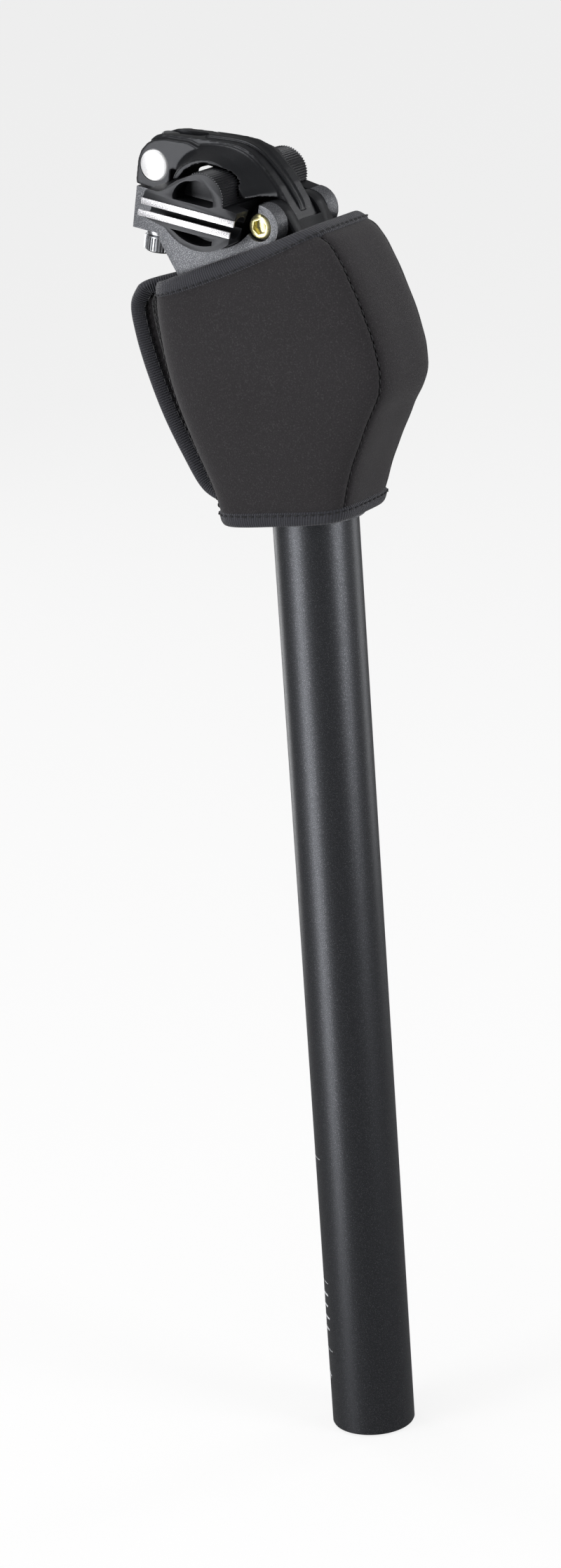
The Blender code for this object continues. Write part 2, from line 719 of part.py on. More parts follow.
def make_upper_pivots():
    """The front pivot's hollow axle with a socket screw in each end, and the rear axle with its clips."""
    wall = BRACKET_HALF_WIDTH - 0.0032
    bore = 0.0025
    front = ring("front_upper_axle", bore, AXLE_RADIUS, -wall + GAP, wall - GAP, FRONT_UPPER, (0, 1, 0))
    made = [dress(front, "steel")]
    face = BRACKET_HALF_WIDTH - 0.0006
    for side, sign in (("left", 1), ("right", -1)):
        name = f"pivot_screw_{side}"
        profile = [
            (0, face),
            (0.0036, face),
            (0.0040, face - 0.0004),
            (0.0040, wall),
            (bore - RUNNING, wall),
            (bore - RUNNING, wall - 0.008),
            (0, wall - 0.008),
        ]
        screw = turned(name, profile, FRONT_UPPER, (0, sign, 0))
        cut(screw, hexagon(name + "_socket", 0.0040, face - 0.0022, face + 0.001, FRONT_UPPER, (0, sign, 0)))
        made.append(dress(screw, "zinc"))
    half = LINK_HALF_WIDTH
    rear = rod("rear_upper_axle", REAR_UPPER, REAR_AXLE_RADIUS, -half - 0.0018, half + 0.0018, steps=SMALL)
    made.append(dress(rear, "steel"))
    return made


# ---------------------------------------------------------------- rail cradles and top clamp
def end_pockets(name, outline):
    """One pocket cutter for each end of a cradle, the left end first."""
    made = []
    for side, sign in (("left", 1), ("right", -1)):
        low, high = sorted((sign * (CRADLE_HALF_WIDTH - POCKET_DEPTH), sign * (CRADLE_HALF_WIDTH + 0.004)))
        made.append(plate(f"{name}_{side}", clamp_outline(outline), low, high))
    return made


def rail_bars(name):
    """Round bars a little over the rails' size, along both rails."""
    made = []
    for side, sign in (("left", 1), ("right", -1)):
        mesh = bpy.data.meshes.new(name)
        work = bmesh.new()
        reach = RAIL_RADIUS + 0.0001
        bmesh.ops.create_cone(work, cap_ends=True, segments=ROUND, radius1=reach, radius2=reach, depth=0.08)
        work.to_mesh(mesh)
        work.free()
        spot = RAIL_CENTRE + Vector((0, sign * RAIL_SPACING / 2, 0))
        place = Matrix.Translation(spot) @ Matrix.Rotation(pi / 2 - RAIL_TILT, 4, "Y")
        made.append(settled(f"{name}_{side}", mesh, place, Vector()))
    return made


def make_cradles():
    t_u, t_v = TILT_AXIS_UV
    lip = CRADLE_GAP / 2
    shoulder = lip + LIP_THICK
    top = [(0.0165, lip), (0.0168, shoulder), (0.0172, 0.0052)]
    top += arc((t_u, t_v), EAR_RADIUS, -8, 122, 22)
    top += [(-0.0085, 0.0072), (-0.0100, 0.0058), (-0.0146, 0.0058), (-0.0160, shoulder), (-0.0158, lip)]
    upper = plate("upper_cradle", clamp_outline(top), -CRADLE_HALF_WIDTH, CRADLE_HALF_WIDTH, TILT_AXIS)
    low = [(-0.0166, -lip), (-0.0164, -shoulder), (-0.0128, -shoulder - 0.0006)]
    low += arc((t_u, t_v), LOWER_RADIUS, 226, 316, 22)
    low += [(0.0153, -shoulder), (0.0158, -lip)]
    lower = plate("lower_cradle", clamp_outline(low), -CRADLE_HALF_WIDTH, CRADLE_HALF_WIDTH, TILT_AXIS)
    middle = 0.0095
    inside = arc((t_u, t_v), TOOTHED_RADIUS, -8, 162, 26) + arc((t_u, t_v), 0.016, 162, -8, 8)
    low_ear = [(0.02, 0.02), (0.02, 0.0053), (0.0089, 0.0053)] + arc((t_u, 0.0020), 0.0056, 35, 148, 12)
    low_ear += [(-0.0006, 0.0050), (-0.0170, 0.0050), (-0.0170, 0.02)]
    hood_edge = HOOD_HALF_WIDTH + SIDE_PLAY
    cut(
        upper,
        plate("ear_step", clamp_outline(inside), -hood_edge, 0.03),
        plate("low_ear_step", clamp_outline(low_ear), hood_edge, 0.03),
    )
    upper_pocket = arc((t_u, t_v), EAR_RADIUS - 0.0036, 8, 120, 12) + [
        (-0.0050, 0.0072),
        (-0.0054, 0.0046),
        (0.0072, 0.0046),
    ]
    lower_pocket = [(0.0098, -0.0046), (-0.0056, -0.0046)] + arc(
        (t_u, t_v),
        LOWER_RADIUS - 0.0018,
        237,
        290,
        10,
    )
    notch_low, notch_high = -0.030, -0.0132
    for cradle, pocket, bars in (
        (upper, end_pockets("upper_pocket", upper_pocket)[1:], rail_bars("upper_rail")),
        (lower, end_pockets("lower_pocket", lower_pocket), rail_bars("lower_rail")),
    ):
        cut(cradle, *pocket, *bars)
        notch = [(notch_low, -0.02), (notch_high, -0.02), (notch_high, 0.0045), (notch_low, 0.0045)]
        if cradle is upper:
            notch = [(notch_low, -0.02), (notch_high, -0.02), (notch_high, 0.02), (notch_low, 0.02)]
        cut(cradle, plate(cradle.name + "_notch", clamp_outline(notch), -middle, middle))
    front = [(0.0130, -0.02), (0.03, -0.02), (0.03, 0.02), (0.0130, 0.02)]
    for cradle in (upper, lower):
        cut(
            cradle,
            plate(cradle.name + "_nose", clamp_outline(front), -BRACKET_HALF_WIDTH, BRACKET_HALF_WIDTH),
        )
    return [dress(upper, "forged_dark"), dress(lower, "forged_dark")]


def make_top_clamp():
    """Rear block round the barrel nut, a spine over the cradles with a hood on each side, and the tail."""
    origin = FRONT_UPPER
    eye_u, eye_v = FRONT_UPPER_UV
    grip = TOOTHED_RADIUS + GAP
    seat = [(BOLT_U, NUT_V, 0.0066), (BOLT_U + 0.0010, 0.0105, 0.0058)]
    foot = [(-0.0212, 0.0030, 0.0022), (-0.0262, 0.0034, 0.0022)]
    block_outline = belt(seat + foot)
    arch = plate("top_clamp", clamp_outline(block_outline), -ARCH_BLOCK_HALF, ARCH_BLOCK_HALF, origin)
    spine = [
        (-0.0255, 0.0060),
        (-0.0255, 0.0150),
        (-0.0225, 0.0176),
        (-0.0135, 0.0188),
        (0.0, 0.0200),
        (0.0055, 0.0198),
    ]
    spine += [(0.0115, 0.0180), (0.0165, 0.0146), (0.0208, 0.0108), (0.0246, 0.0064), (0.0276, 0.0024)]
    spine += arc((eye_u, eye_v), ARCH_TAIL_RADIUS, 10, -150, 12)
    spine += [(0.0150, 0.0085), (0.0090, 0.0128), (-0.0050, 0.0120), (-0.0120, 0.0090), (-0.0180, 0.0060)]
    join(arch, plate("arch_spine", clamp_outline(spine), -ARCH_TAIL_HALF, ARCH_TAIL_HALF, origin))
    hood = arc((0.0013, 0.0030), 0.0148, 22, 158, 22) + arc((0.0015, 0.0038), 0.0119, 156, 20, 22)
    join(arch, plate("arch_hood", clamp_outline(hood), -HOOD_HALF_WIDTH, HOOD_HALF_WIDTH, origin))
    cheek = [(-0.0200, 0.0040), (-0.0170, 0.0150), (-0.0080, 0.0162), (-0.0060, 0.0120), (-0.0130, 0.0070)]
    join(
        arch,
        plate(
            "arch_shoulder",
            clamp_outline(cheek),
            -ARCH_BLOCK_HALF + 0.0002,
            ARCH_BLOCK_HALF - 0.0002,
            origin,
        ),
    )
    way = arc(TILT_AXIS_UV, grip + 0.0004, -70, 128, 24) + [
        (-0.0088, 0.0088),
        (-0.0104, 0.0079),
        (-0.0168, 0.0086),
        (-0.0168, -0.004),
    ]
    slot = [
        (BOLT_U - 0.0040, -0.004),
        (BOLT_U + 0.0040, -0.004),
        (BOLT_U + 0.0040, 0.03),
        (BOLT_U - 0.0040, 0.03),
    ]
    top_slot = belt([(BOLT_U, 0.0190, 0.0031), (BOLT_U + 0.0110, 0.0196, 0.0031)])
    cut(
        arch,
        plate("cradle_room", clamp_outline(way), -0.03, 0.03),
        rod("nut_hole", on_axis(BOLT_U, NUT_V), NUT_RADIUS + RUNNING, -0.03, 0.03, steps=ROUND),
        plate("bolt_slot", clamp_outline(slot), -BOLT_RADIUS - 0.0003, BOLT_RADIUS + 0.0003),
        plate("top_slot", clamp_outline(top_slot), -BOLT_RADIUS, BOLT_RADIUS),
        rod("tail_hole", FRONT_UPPER, EYE_BORE, -0.03, 0.03),
    )
    return [dress(arch, "forged_dark")]


def make_bolt():
    """Barrel nut across the arch, the bolt up through the boss into it, and the dished washer at its head."""
    nut_axis = on_axis(BOLT_U, NUT_V)
    nut = rod("barrel_nut", nut_axis, NUT_RADIUS, -ARCH_BLOCK_HALF - 0.0002, ARCH_BLOCK_HALF + 0.0002)
    cut(nut, bolt_bar("nut_thread", BOLT_RADIUS + 0.0001, -0.02, 0.03))
    axis = (on_axis(0, 1) - on_axis(0, 0)).normalized()
    under_boss = BOSS_BOTTOM_V - GAP
    pivot = on_axis(BOLT_U, under_boss)
    washer = ring(
        "bolt_washer",
        BOLT_RADIUS + 0.0002,
        BOLT_HEAD_RADIUS - 0.0002,
        -WASHER_THICK,
        0,
        pivot,
        axis,
    )
    head_top = -WASHER_THICK - GAP
    tip = BOLT_TIP_V - under_boss
    radius, head = BOLT_RADIUS, BOLT_HEAD_RADIUS
    profile = [(0, tip), (radius - 0.0006, tip), (radius, tip - 0.0006), (radius, head_top), (head, head_top)]
    profile += [
        (head, head_top - BOLT_HEAD_HEIGHT + 0.0004),
        (head - 0.0004, head_top - BOLT_HEAD_HEIGHT),
        (0, head_top - BOLT_HEAD_HEIGHT),
    ]
    bolt = turned("clamp_bolt", profile, pivot, axis)
    cut(
        bolt,
        hexagon("bolt_socket", 0.0050, head_top - BOLT_HEAD_HEIGHT - 0.001, head_top - 0.0018, pivot, axis),
    )
    return [dress(nut, "bright")], [dress(washer, "steel")], [dress(bolt, "steel")]


# ---------------------------------------------------------------- neoprene cover
def along(values, t):
    """A smooth value at t, from 0 to 1, through equally spaced values or points (Catmull-Rom)."""
    spans = len(values) - 1
    i = min(int(t * spans), spans - 1)
    f = t * spans - i
    near = [values[max(0, min(spans, k))] for k in (i - 1, i, i + 1, i + 2)]
    p = [Vector(value) if isinstance(value, tuple) else value for value in near]
    return 0.5 * ((2 * p[1]) + (p[2] - p[0]) * f + (2 * p[0] - 5 * p[1] + 4 * p[2] - p[3]) * f * f
                  + (3 * p[1] - p[0] - 3 * p[2] + p[3]) * f * f * f)


def signed_power(value, power):
    return (1 if value >= 0 else -1) * abs(value) ** power


def ring_point(t, angle, inset=0.0):
    """A point on the cover's girth at level t; angle 0 is the front and 180 the rear, in degrees."""
    front, rear = along(FRONT_LINE, t), along(REAR_LINE, t)
    middle, half = (front + rear) / 2, (front - rear) / 2
    half = half * (1 - inset / half.length)
    c, s = cos(radians(angle)), sin(radians(angle))
    flat = middle + half * signed_power(c, 2 / RING_POWER)
    width = (along(HALF_WIDTHS, t) - inset) * signed_power(s, 2 / RING_POWER)
    return Vector((flat.x, width, TUBE_TOP + flat.y))


def flap_point(t, share):
    """A point on the flap between the far panel's rear end and the flap's bound edge."""
    start = ring_point(t, FAR_REAR_ANGLE)
    edge = along(FLAP_LINE, t)
    end = Vector((edge.x, FLAP_Y, TUBE_TOP + edge.y))
    bowed = start.lerp(end, share)
    bowed.y += 0.0016 * sin(pi * share)
    return bowed


def flap_end(t):
    """The share of the flap's width at which the panel stops, clear of the binding's bead."""
    return 1 - (BINDING_RADIUS + 4 * GAP) / (flap_point(t, 1) - flap_point(t, 0)).length


def sheet_piece(name, rows, finish, thickness=NEOPRENE):
    """A closed panel from rows of points on its outer face, thickened inwards."""
    mesh = bpy.data.meshes.new(name)
    across = len(rows[0])
    points = [tuple(p) for row in rows for p in row]
    faces = []
    for i in range(len(rows) - 1):
        for j in range(across - 1):
            a = i * across + j
            faces.append((a, a + 1, a + across + 1, a + across))
    mesh.from_pydata(points, [], faces)
    made = bpy.data.objects.new(name, mesh)
    wall = made.modifiers.new("wall", "SOLIDIFY")
    wall.thickness = thickness
    wall.offset = -1
    wall.use_even_offset = True
    return dress(made, finish)


def levels(low, high, count):
    return [low + (high - low) * i / count for i in range(count + 1)]


def make_cover():
    low, high = 0.042, 0.935
    seam_gap = 1.6
    near_angles = levels(-SEAM_ANGLE - seam_gap, -NEAR_REAR_ANGLE, 12)
    front_angles = levels(SEAM_ANGLE - seam_gap, -SEAM_ANGLE + seam_gap, 8)
    far_angles = levels(SEAM_ANGLE + seam_gap, FAR_REAR_ANGLE, 12)
    heights = levels(low, high, LEVELS)
    near = sheet_piece(
        "cover_near_panel",
        [[ring_point(t, a) for a in near_angles] for t in heights][::-1],
        "neoprene",
    )
    front = sheet_piece(
        "cover_front_panel",
        [[ring_point(t, a) for a in front_angles] for t in heights][::-1],
        "neoprene",
    )
    flap_shares = (1.0, 0.8, 0.6, 0.4, 0.2)
    far_rows = [
        [flap_point(t, s * flap_end(t)) for s in flap_shares] + [ring_point(t, a) for a in far_angles[::-1]]
        for t in heights
    ]
    far = sheet_piece("cover_far_panel", far_rows[::-1], "neoprene")
    hem = tape("cover_hem_binding", [ring_point(0.0, a) for a in levels(0, 360, 40)[:-1]], HEM_RADIUS, True)
    top_path = [ring_point(1.0, a) for a in levels(-NEAR_REAR_ANGLE + 2, FAR_REAR_ANGLE, 30)]
    top = tape("cover_top_binding", top_path, BINDING_RADIUS, False)
    edge = [flap_point(1.0, s) for s in (0.2, 0.45, 0.7)] + [
        flap_point(t, 1.0)
        for t in levels(0.97, 0.03, 15)
    ]
    flap = tape("cover_flap_binding", edge, BINDING_RADIUS, False)
    strip_rows = [
        [inset_flap(t, s, NEOPRENE + GAP)
        for s in (0.78, 0.6, 0.42)] for t in levels(0.10, 0.90, 12)
    ]
    hook = sheet_piece("closure_hook_strip", strip_rows[::-1], "binding", STRIP_THICK)
    loop_rows = [[ring_point(t, -a, NEOPRENE + GAP) for a in (118, 133, 148)] for t in levels(0.10, 0.90, 12)]
    loop = sheet_piece("closure_loop_strip", loop_rows[::-1], "binding", STRIP_THICK)
    return [near, front, far, hem, flap, hook, loop], [top]


def inset_flap(t, share, depth):
    """A point moved off the flap's outer face towards the near side."""
    step = 0.02
    here = flap_point(t, share)
    rise = flap_point(min(1, t + step), share) - flap_point(max(0, t - step), share)
    run = flap_point(t, share + step) - flap_point(t, share - step)
    normal = rise.cross(run).normalized()
    return here + normal * (depth if normal.y < 0 else -depth)


def tape(name, path, radius, closed):
    """A folded binding tape as one round bead along its path."""
    drawn = bpy.data.curves.new(name, "CURVE")
    drawn.dimensions = "3D"
    drawn.bevel_depth = radius
    drawn.bevel_resolution = 2
    drawn.use_fill_caps = not closed
    spline = drawn.splines.new("POLY")
    spline.points.add(len(path) - 1)
    for point, spot in zip(spline.points, path):
        point.co = (*spot, 1)
    spline.use_cyclic_u = closed
    return dress(bpy.data.objects.new(name, drawn), "binding")


# ---------------------------------------------------------------- assembly
def carrier(name, spot, parent=None):
    """An empty on a joint's axis that carries the pieces which move together."""
    made = bpy.data.objects.new(name, None)
    made.empty_display_size = 0.01
    made.location = spot - (world_of(parent) if parent else Vector())
    made.parent = parent
    bpy.data.collections[PARTS].objects.link(made)
    return made


def world_of(thing):
    spot = Vector(thing.location)
    while thing.parent:
        thing = thing.parent
        spot += thing.location
    return spot


def hang(pieces, parent):
    for piece in pieces:
        piece.location = piece.location - world_of(parent)
        piece.parent = parent


def main():
    clear_scene()
    collection(PARTS)
    collection(CUTTERS)
    root = carrier("post_carrier", Vector())
    cover, cover_top = make_cover()
    hang(make_tube() + make_head() + make_guide() + make_spring() + make_lower_pivots() + cover, root)
    hang(cover_top, carrier("cover_top_travel", Vector(), root))
    hang(make_preload(), carrier("preload_travel", Vector((0, 0, SEAT_BOTTOM)), root))
    hang(make_plunger(), carrier("plunger_travel", Vector((0, 0, FLANGE_TOP)), root))
    swing = carrier("suspension_swing", FRONT_LOWER, root)
    axle, roller = make_roller()
    hang(make_front_link() + axle, swing)
    hang(roller, carrier("roller_spin", ROLLER, swing))
    hang(make_rear_link(), carrier("rear_link_swing", REAR_LOWER, root))
    bracket = carrier("bracket_level", FRONT_UPPER, swing)
    hang(make_bracket() + make_upper_pivots(), bracket)
    hang(make_cradles(), carrier("saddle_tilt", TILT_AXIS, bracket))
    arch = carrier("top_clamp_open", FRONT_UPPER, bracket)
    nut, washer, bolt = make_bolt()
    hang(make_top_clamp(), arch)
    hang(nut, carrier("nut_turn", on_axis(BOLT_U, NUT_V), arch))
    bolt_pivot = carrier("bolt_swing", on_axis(BOLT_U, BOSS_BOTTOM_V - GAP), bracket)
    hang(washer + bolt, bolt_pivot)


if __name__ == "__main__":
    main()
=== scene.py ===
"""Looks of the suspension seatpost: anodised tube, forged saddle clamp, neoprene cover and a plain studio.

Every piece is made in the model's own frame, in metres: Z up the tube from its lower end, X towards the
front of the bicycle, Y to its left. Sizes in the classes are in metres, unless a class says millimetres.
"""

import json
import logging
import math
from dataclasses import dataclass, field
from enum import Enum
from typing import Optional, Sequence

import bmesh
import bpy
import numpy as np
from mathutils import Matrix, Vector

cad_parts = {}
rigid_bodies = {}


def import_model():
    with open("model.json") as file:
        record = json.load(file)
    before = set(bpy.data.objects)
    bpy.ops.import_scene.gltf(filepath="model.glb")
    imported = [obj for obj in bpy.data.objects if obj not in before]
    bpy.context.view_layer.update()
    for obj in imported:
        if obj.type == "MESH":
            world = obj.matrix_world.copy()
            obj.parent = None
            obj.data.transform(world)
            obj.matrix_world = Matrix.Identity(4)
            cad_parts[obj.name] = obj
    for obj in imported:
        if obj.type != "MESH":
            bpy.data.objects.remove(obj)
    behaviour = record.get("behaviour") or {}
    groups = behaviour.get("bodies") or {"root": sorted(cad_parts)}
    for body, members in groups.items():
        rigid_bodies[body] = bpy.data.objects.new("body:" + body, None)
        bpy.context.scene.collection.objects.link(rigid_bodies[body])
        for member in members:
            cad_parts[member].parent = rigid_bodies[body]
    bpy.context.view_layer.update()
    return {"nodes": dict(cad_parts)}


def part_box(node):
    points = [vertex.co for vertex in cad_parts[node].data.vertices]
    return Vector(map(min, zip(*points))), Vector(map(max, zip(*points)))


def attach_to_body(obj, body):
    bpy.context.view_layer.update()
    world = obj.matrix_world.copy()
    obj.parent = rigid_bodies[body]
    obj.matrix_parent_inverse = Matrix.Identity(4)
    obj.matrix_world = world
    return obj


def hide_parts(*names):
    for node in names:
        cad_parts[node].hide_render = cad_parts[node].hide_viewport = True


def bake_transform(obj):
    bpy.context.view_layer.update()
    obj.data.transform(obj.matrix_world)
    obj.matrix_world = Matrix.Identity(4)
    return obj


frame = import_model()
LOG = logging.getLogger("seatpost")
Pair = tuple[float, float]
Colour = tuple[float, float, float]


# ---------------------------------------------------------------- node building
class Graph:
    """A thin writer for node trees: adds nodes with their settings and links them."""

    def __init__(self, tree: bpy.types.NodeTree) -> None:
        """Args:
            tree: the shader or geometry tree to write in.
        """
        self.tree = tree

    def add(self, kind: str, inputs: Optional[dict] = None, **settings) -> bpy.types.Node:
        """Adds a node.

        Args:
            kind: the node's type identifier.
            inputs: socket name or index to a plain value or to an output socket.
            settings: properties of the node.

        Returns:
            The new node.
        """
        node = self.tree.nodes.new(kind)
        for name, value in settings.items():
            setattr(node, name, value)
        for name, value in (inputs or {}).items():
            if isinstance(value, bpy.types.NodeSocket):
                self.tree.links.new(value, node.inputs[name])
            else:
                node.inputs[name].default_value = value
        return node

    def link(self, source: bpy.types.NodeSocket, target: bpy.types.NodeSocket) -> None:
        """Joins an output socket to an input socket."""
        self.tree.links.new(source, target)


def shader_group(name: str, inputs: dict[str, tuple[str, float]], outputs: dict[str, str]) -> tuple:
    """Starts a shared shader node group.

    Args:
        name: the group's name.
        inputs: socket name to (socket type, default); a vector socket ignores its default.
        outputs: socket name to socket type.

    Returns:
        The group, its graph, its input node and its output node.
    """
    group = bpy.data.node_groups.new(name, "ShaderNodeTree")
    for label, (kind, default) in inputs.items():
        socket = group.interface.new_socket(name=label, in_out="INPUT", socket_type=kind)
        if kind == "NodeSocketFloat":
            socket.default_value = default
    for label, kind in outputs.items():
        group.interface.new_socket(name=label, in_out="OUTPUT", socket_type=kind)
    graph = Graph(group)
    return group, graph, graph.add("NodeGroupInput"), graph.add("NodeGroupOutput")


class SharedGroups:
    """The shader groups that more than one finish uses, each built once."""

    def __init__(self) -> None:
        """Builds all the groups."""
        self.speckle = self._speckle()
        self.edge = self._edge()
        self.ribs = self._ribs()
        self.knit = self._knit()

    def _speckle(self) -> bpy.types.NodeTree:
        """Fine grains: a mask of bright flecks and a soft height, from Object coordinates.

        Returns:
            The node group.
        """
        group, graph, given, out = shader_group(
            "Speckle",
            {"Vector": ("NodeSocketVector", 0), "Scale": ("NodeSocketFloat", 3000.0),
             "Threshold": ("NodeSocketFloat", 0.62)},
            {"Mask": "NodeSocketFloat", "Height": "NodeSocketFloat"},
        )
        fine = graph.add("ShaderNodeTexNoise", {"Vector": given.outputs["Vector"],
                                                "Scale": given.outputs["Scale"],
                                                "Detail": 2.0, "Roughness": 0.7})
        high = graph.add("ShaderNodeMath", {0: given.outputs["Threshold"], 1: 0.10}, operation="ADD")
        mask = graph.add("ShaderNodeMapRange", {"Value": fine.outputs["Fac"],
                                                "From Min": given.outputs["Threshold"],
                                                "From Max": high.outputs[0]})
        graph.link(mask.outputs["Result"], out.inputs["Mask"])
        graph.link(fine.outputs["Fac"], out.inputs["Height"])
        return group

    def _edge(self) -> bpy.types.NodeTree:
        """Rubbed edges: 1 on sharp edges, 0 on flats, broken up by noise.

        Returns:
            The node group.
        """
        group, graph, given, out = shader_group(
            "Rubbed edges",
            {"Vector": ("NodeSocketVector", 0), "Radius": ("NodeSocketFloat", 0.0006),
             "Break Up": ("NodeSocketFloat", 0.5)},
            {"Mask": "NodeSocketFloat"},
        )
        rounded = graph.add("ShaderNodeBevel", {"Radius": given.outputs["Radius"]}, samples=4)
        plain = graph.add("ShaderNodeNewGeometry")
        same = graph.add("ShaderNodeVectorMath", {0: rounded.outputs[0], 1: plain.outputs["Normal"]},
                         operation="DOT_PRODUCT")
        worn = graph.add(
            "ShaderNodeMapRange",
            {"Value": same.outputs["Value"], "From Min": 0.99, "From Max": 0.86},
        )
        patches = graph.add(
            "ShaderNodeTexNoise",
            {"Vector": given.outputs["Vector"], "Scale": 420.0, "Detail": 3.0},
        )
        broken = graph.add("ShaderNodeMath", {0: patches.outputs["Fac"], 1: given.outputs["Break Up"]},
                           operation="MULTIPLY")
        left = graph.add(
            "ShaderNodeMath",
            {0: 1.0, 1: broken.outputs[0]},
            operation="SUBTRACT",
            use_clamp=True,
        )
        mask = graph.add(
            "ShaderNodeMath",
            {0: worn.outputs["Result"], 1: left.outputs[0]},
            operation="MULTIPLY",
        )
        graph.link(mask.outputs[0], out.inputs["Mask"])
        return group

    def _ribs(self) -> bpy.types.NodeTree:
        """Ribs of a woven tape across its length, from its own UV map in metres.

        Returns:
            The node group.
        """
        group, graph, given, out = shader_group(
            "Tape ribs",
            {"Vector": ("NodeSocketVector", 0), "Ribs Per Metre": ("NodeSocketFloat", 1200.0)},
            {"Height": "NodeSocketFloat"},
        )
        wave = graph.add("ShaderNodeTexWave", {"Vector": given.outputs["Vector"], "Scale": 0.0,
                         "Distortion": 0.0},
                         wave_type="BANDS", bands_direction="X", wave_profile="SIN")
        scaled = graph.add(
            "ShaderNodeMath",
            {0: given.outputs["Ribs Per Metre"], 1: 1 / 3.18},
            operation="MULTIPLY",
        )
        graph.link(scaled.outputs[0], wave.inputs["Scale"])
        cross = graph.add("ShaderNodeTexWave", {"Vector": given.outputs["Vector"], "Scale": 620.0,
                                                "Distortion": 0.0}, wave_type="BANDS", bands_direction="Y")
        both = graph.add("ShaderNodeMix", {0: 0.25, 2: wave.outputs["Fac"], 3: cross.outputs["Fac"]})
        graph.link(both.outputs[0], out.inputs["Height"])
        return group

    def _knit(self) -> bpy.types.NodeTree:
        """Jersey face of a neoprene sheet: tiny loops in rows, with a little unevenness.

        Returns:
            The node group.
        """
        group, graph, given, out = shader_group(
            "Jersey knit",
            {"Vector": ("NodeSocketVector", 0), "Loops Per Metre": ("NodeSocketFloat", 1700.0)},
            {"Height": "NodeSocketFloat", "Fleck": "NodeSocketFloat"},
        )
        loops = graph.add("ShaderNodeTexVoronoi", {"Vector": given.outputs["Vector"],
                                                   "Scale": given.outputs["Loops Per Metre"],
                                                   "Randomness": 0.65})
        flecks = graph.add("ShaderNodeTexNoise", {"Vector": given.outputs["Vector"], "Scale": 2100.0,
                                                  "Detail": 3.0, "Roughness": 0.75})
        bright = graph.add("ShaderNodeMapRange", {"Value": flecks.outputs["Fac"], "From Min": 0.52,
                                                  "From Max": 0.78})
        height = graph.add("ShaderNodeMix", {0: 0.35, 2: loops.outputs["Distance"], 3: flecks.outputs["Fac"]})
        graph.link(height.outputs[0], out.inputs["Height"])
        graph.link(bright.outputs["Result"], out.inputs["Fleck"])
        return group


GROUPS = SharedGroups()


# ---------------------------------------------------------------- finishes
class Coat(Enum):
    """Which pattern a finish carries over its base colour."""

    METAL = "metal"
    KNIT = "knit"
    TAPE = "tape"
    PLAIN = "plain"


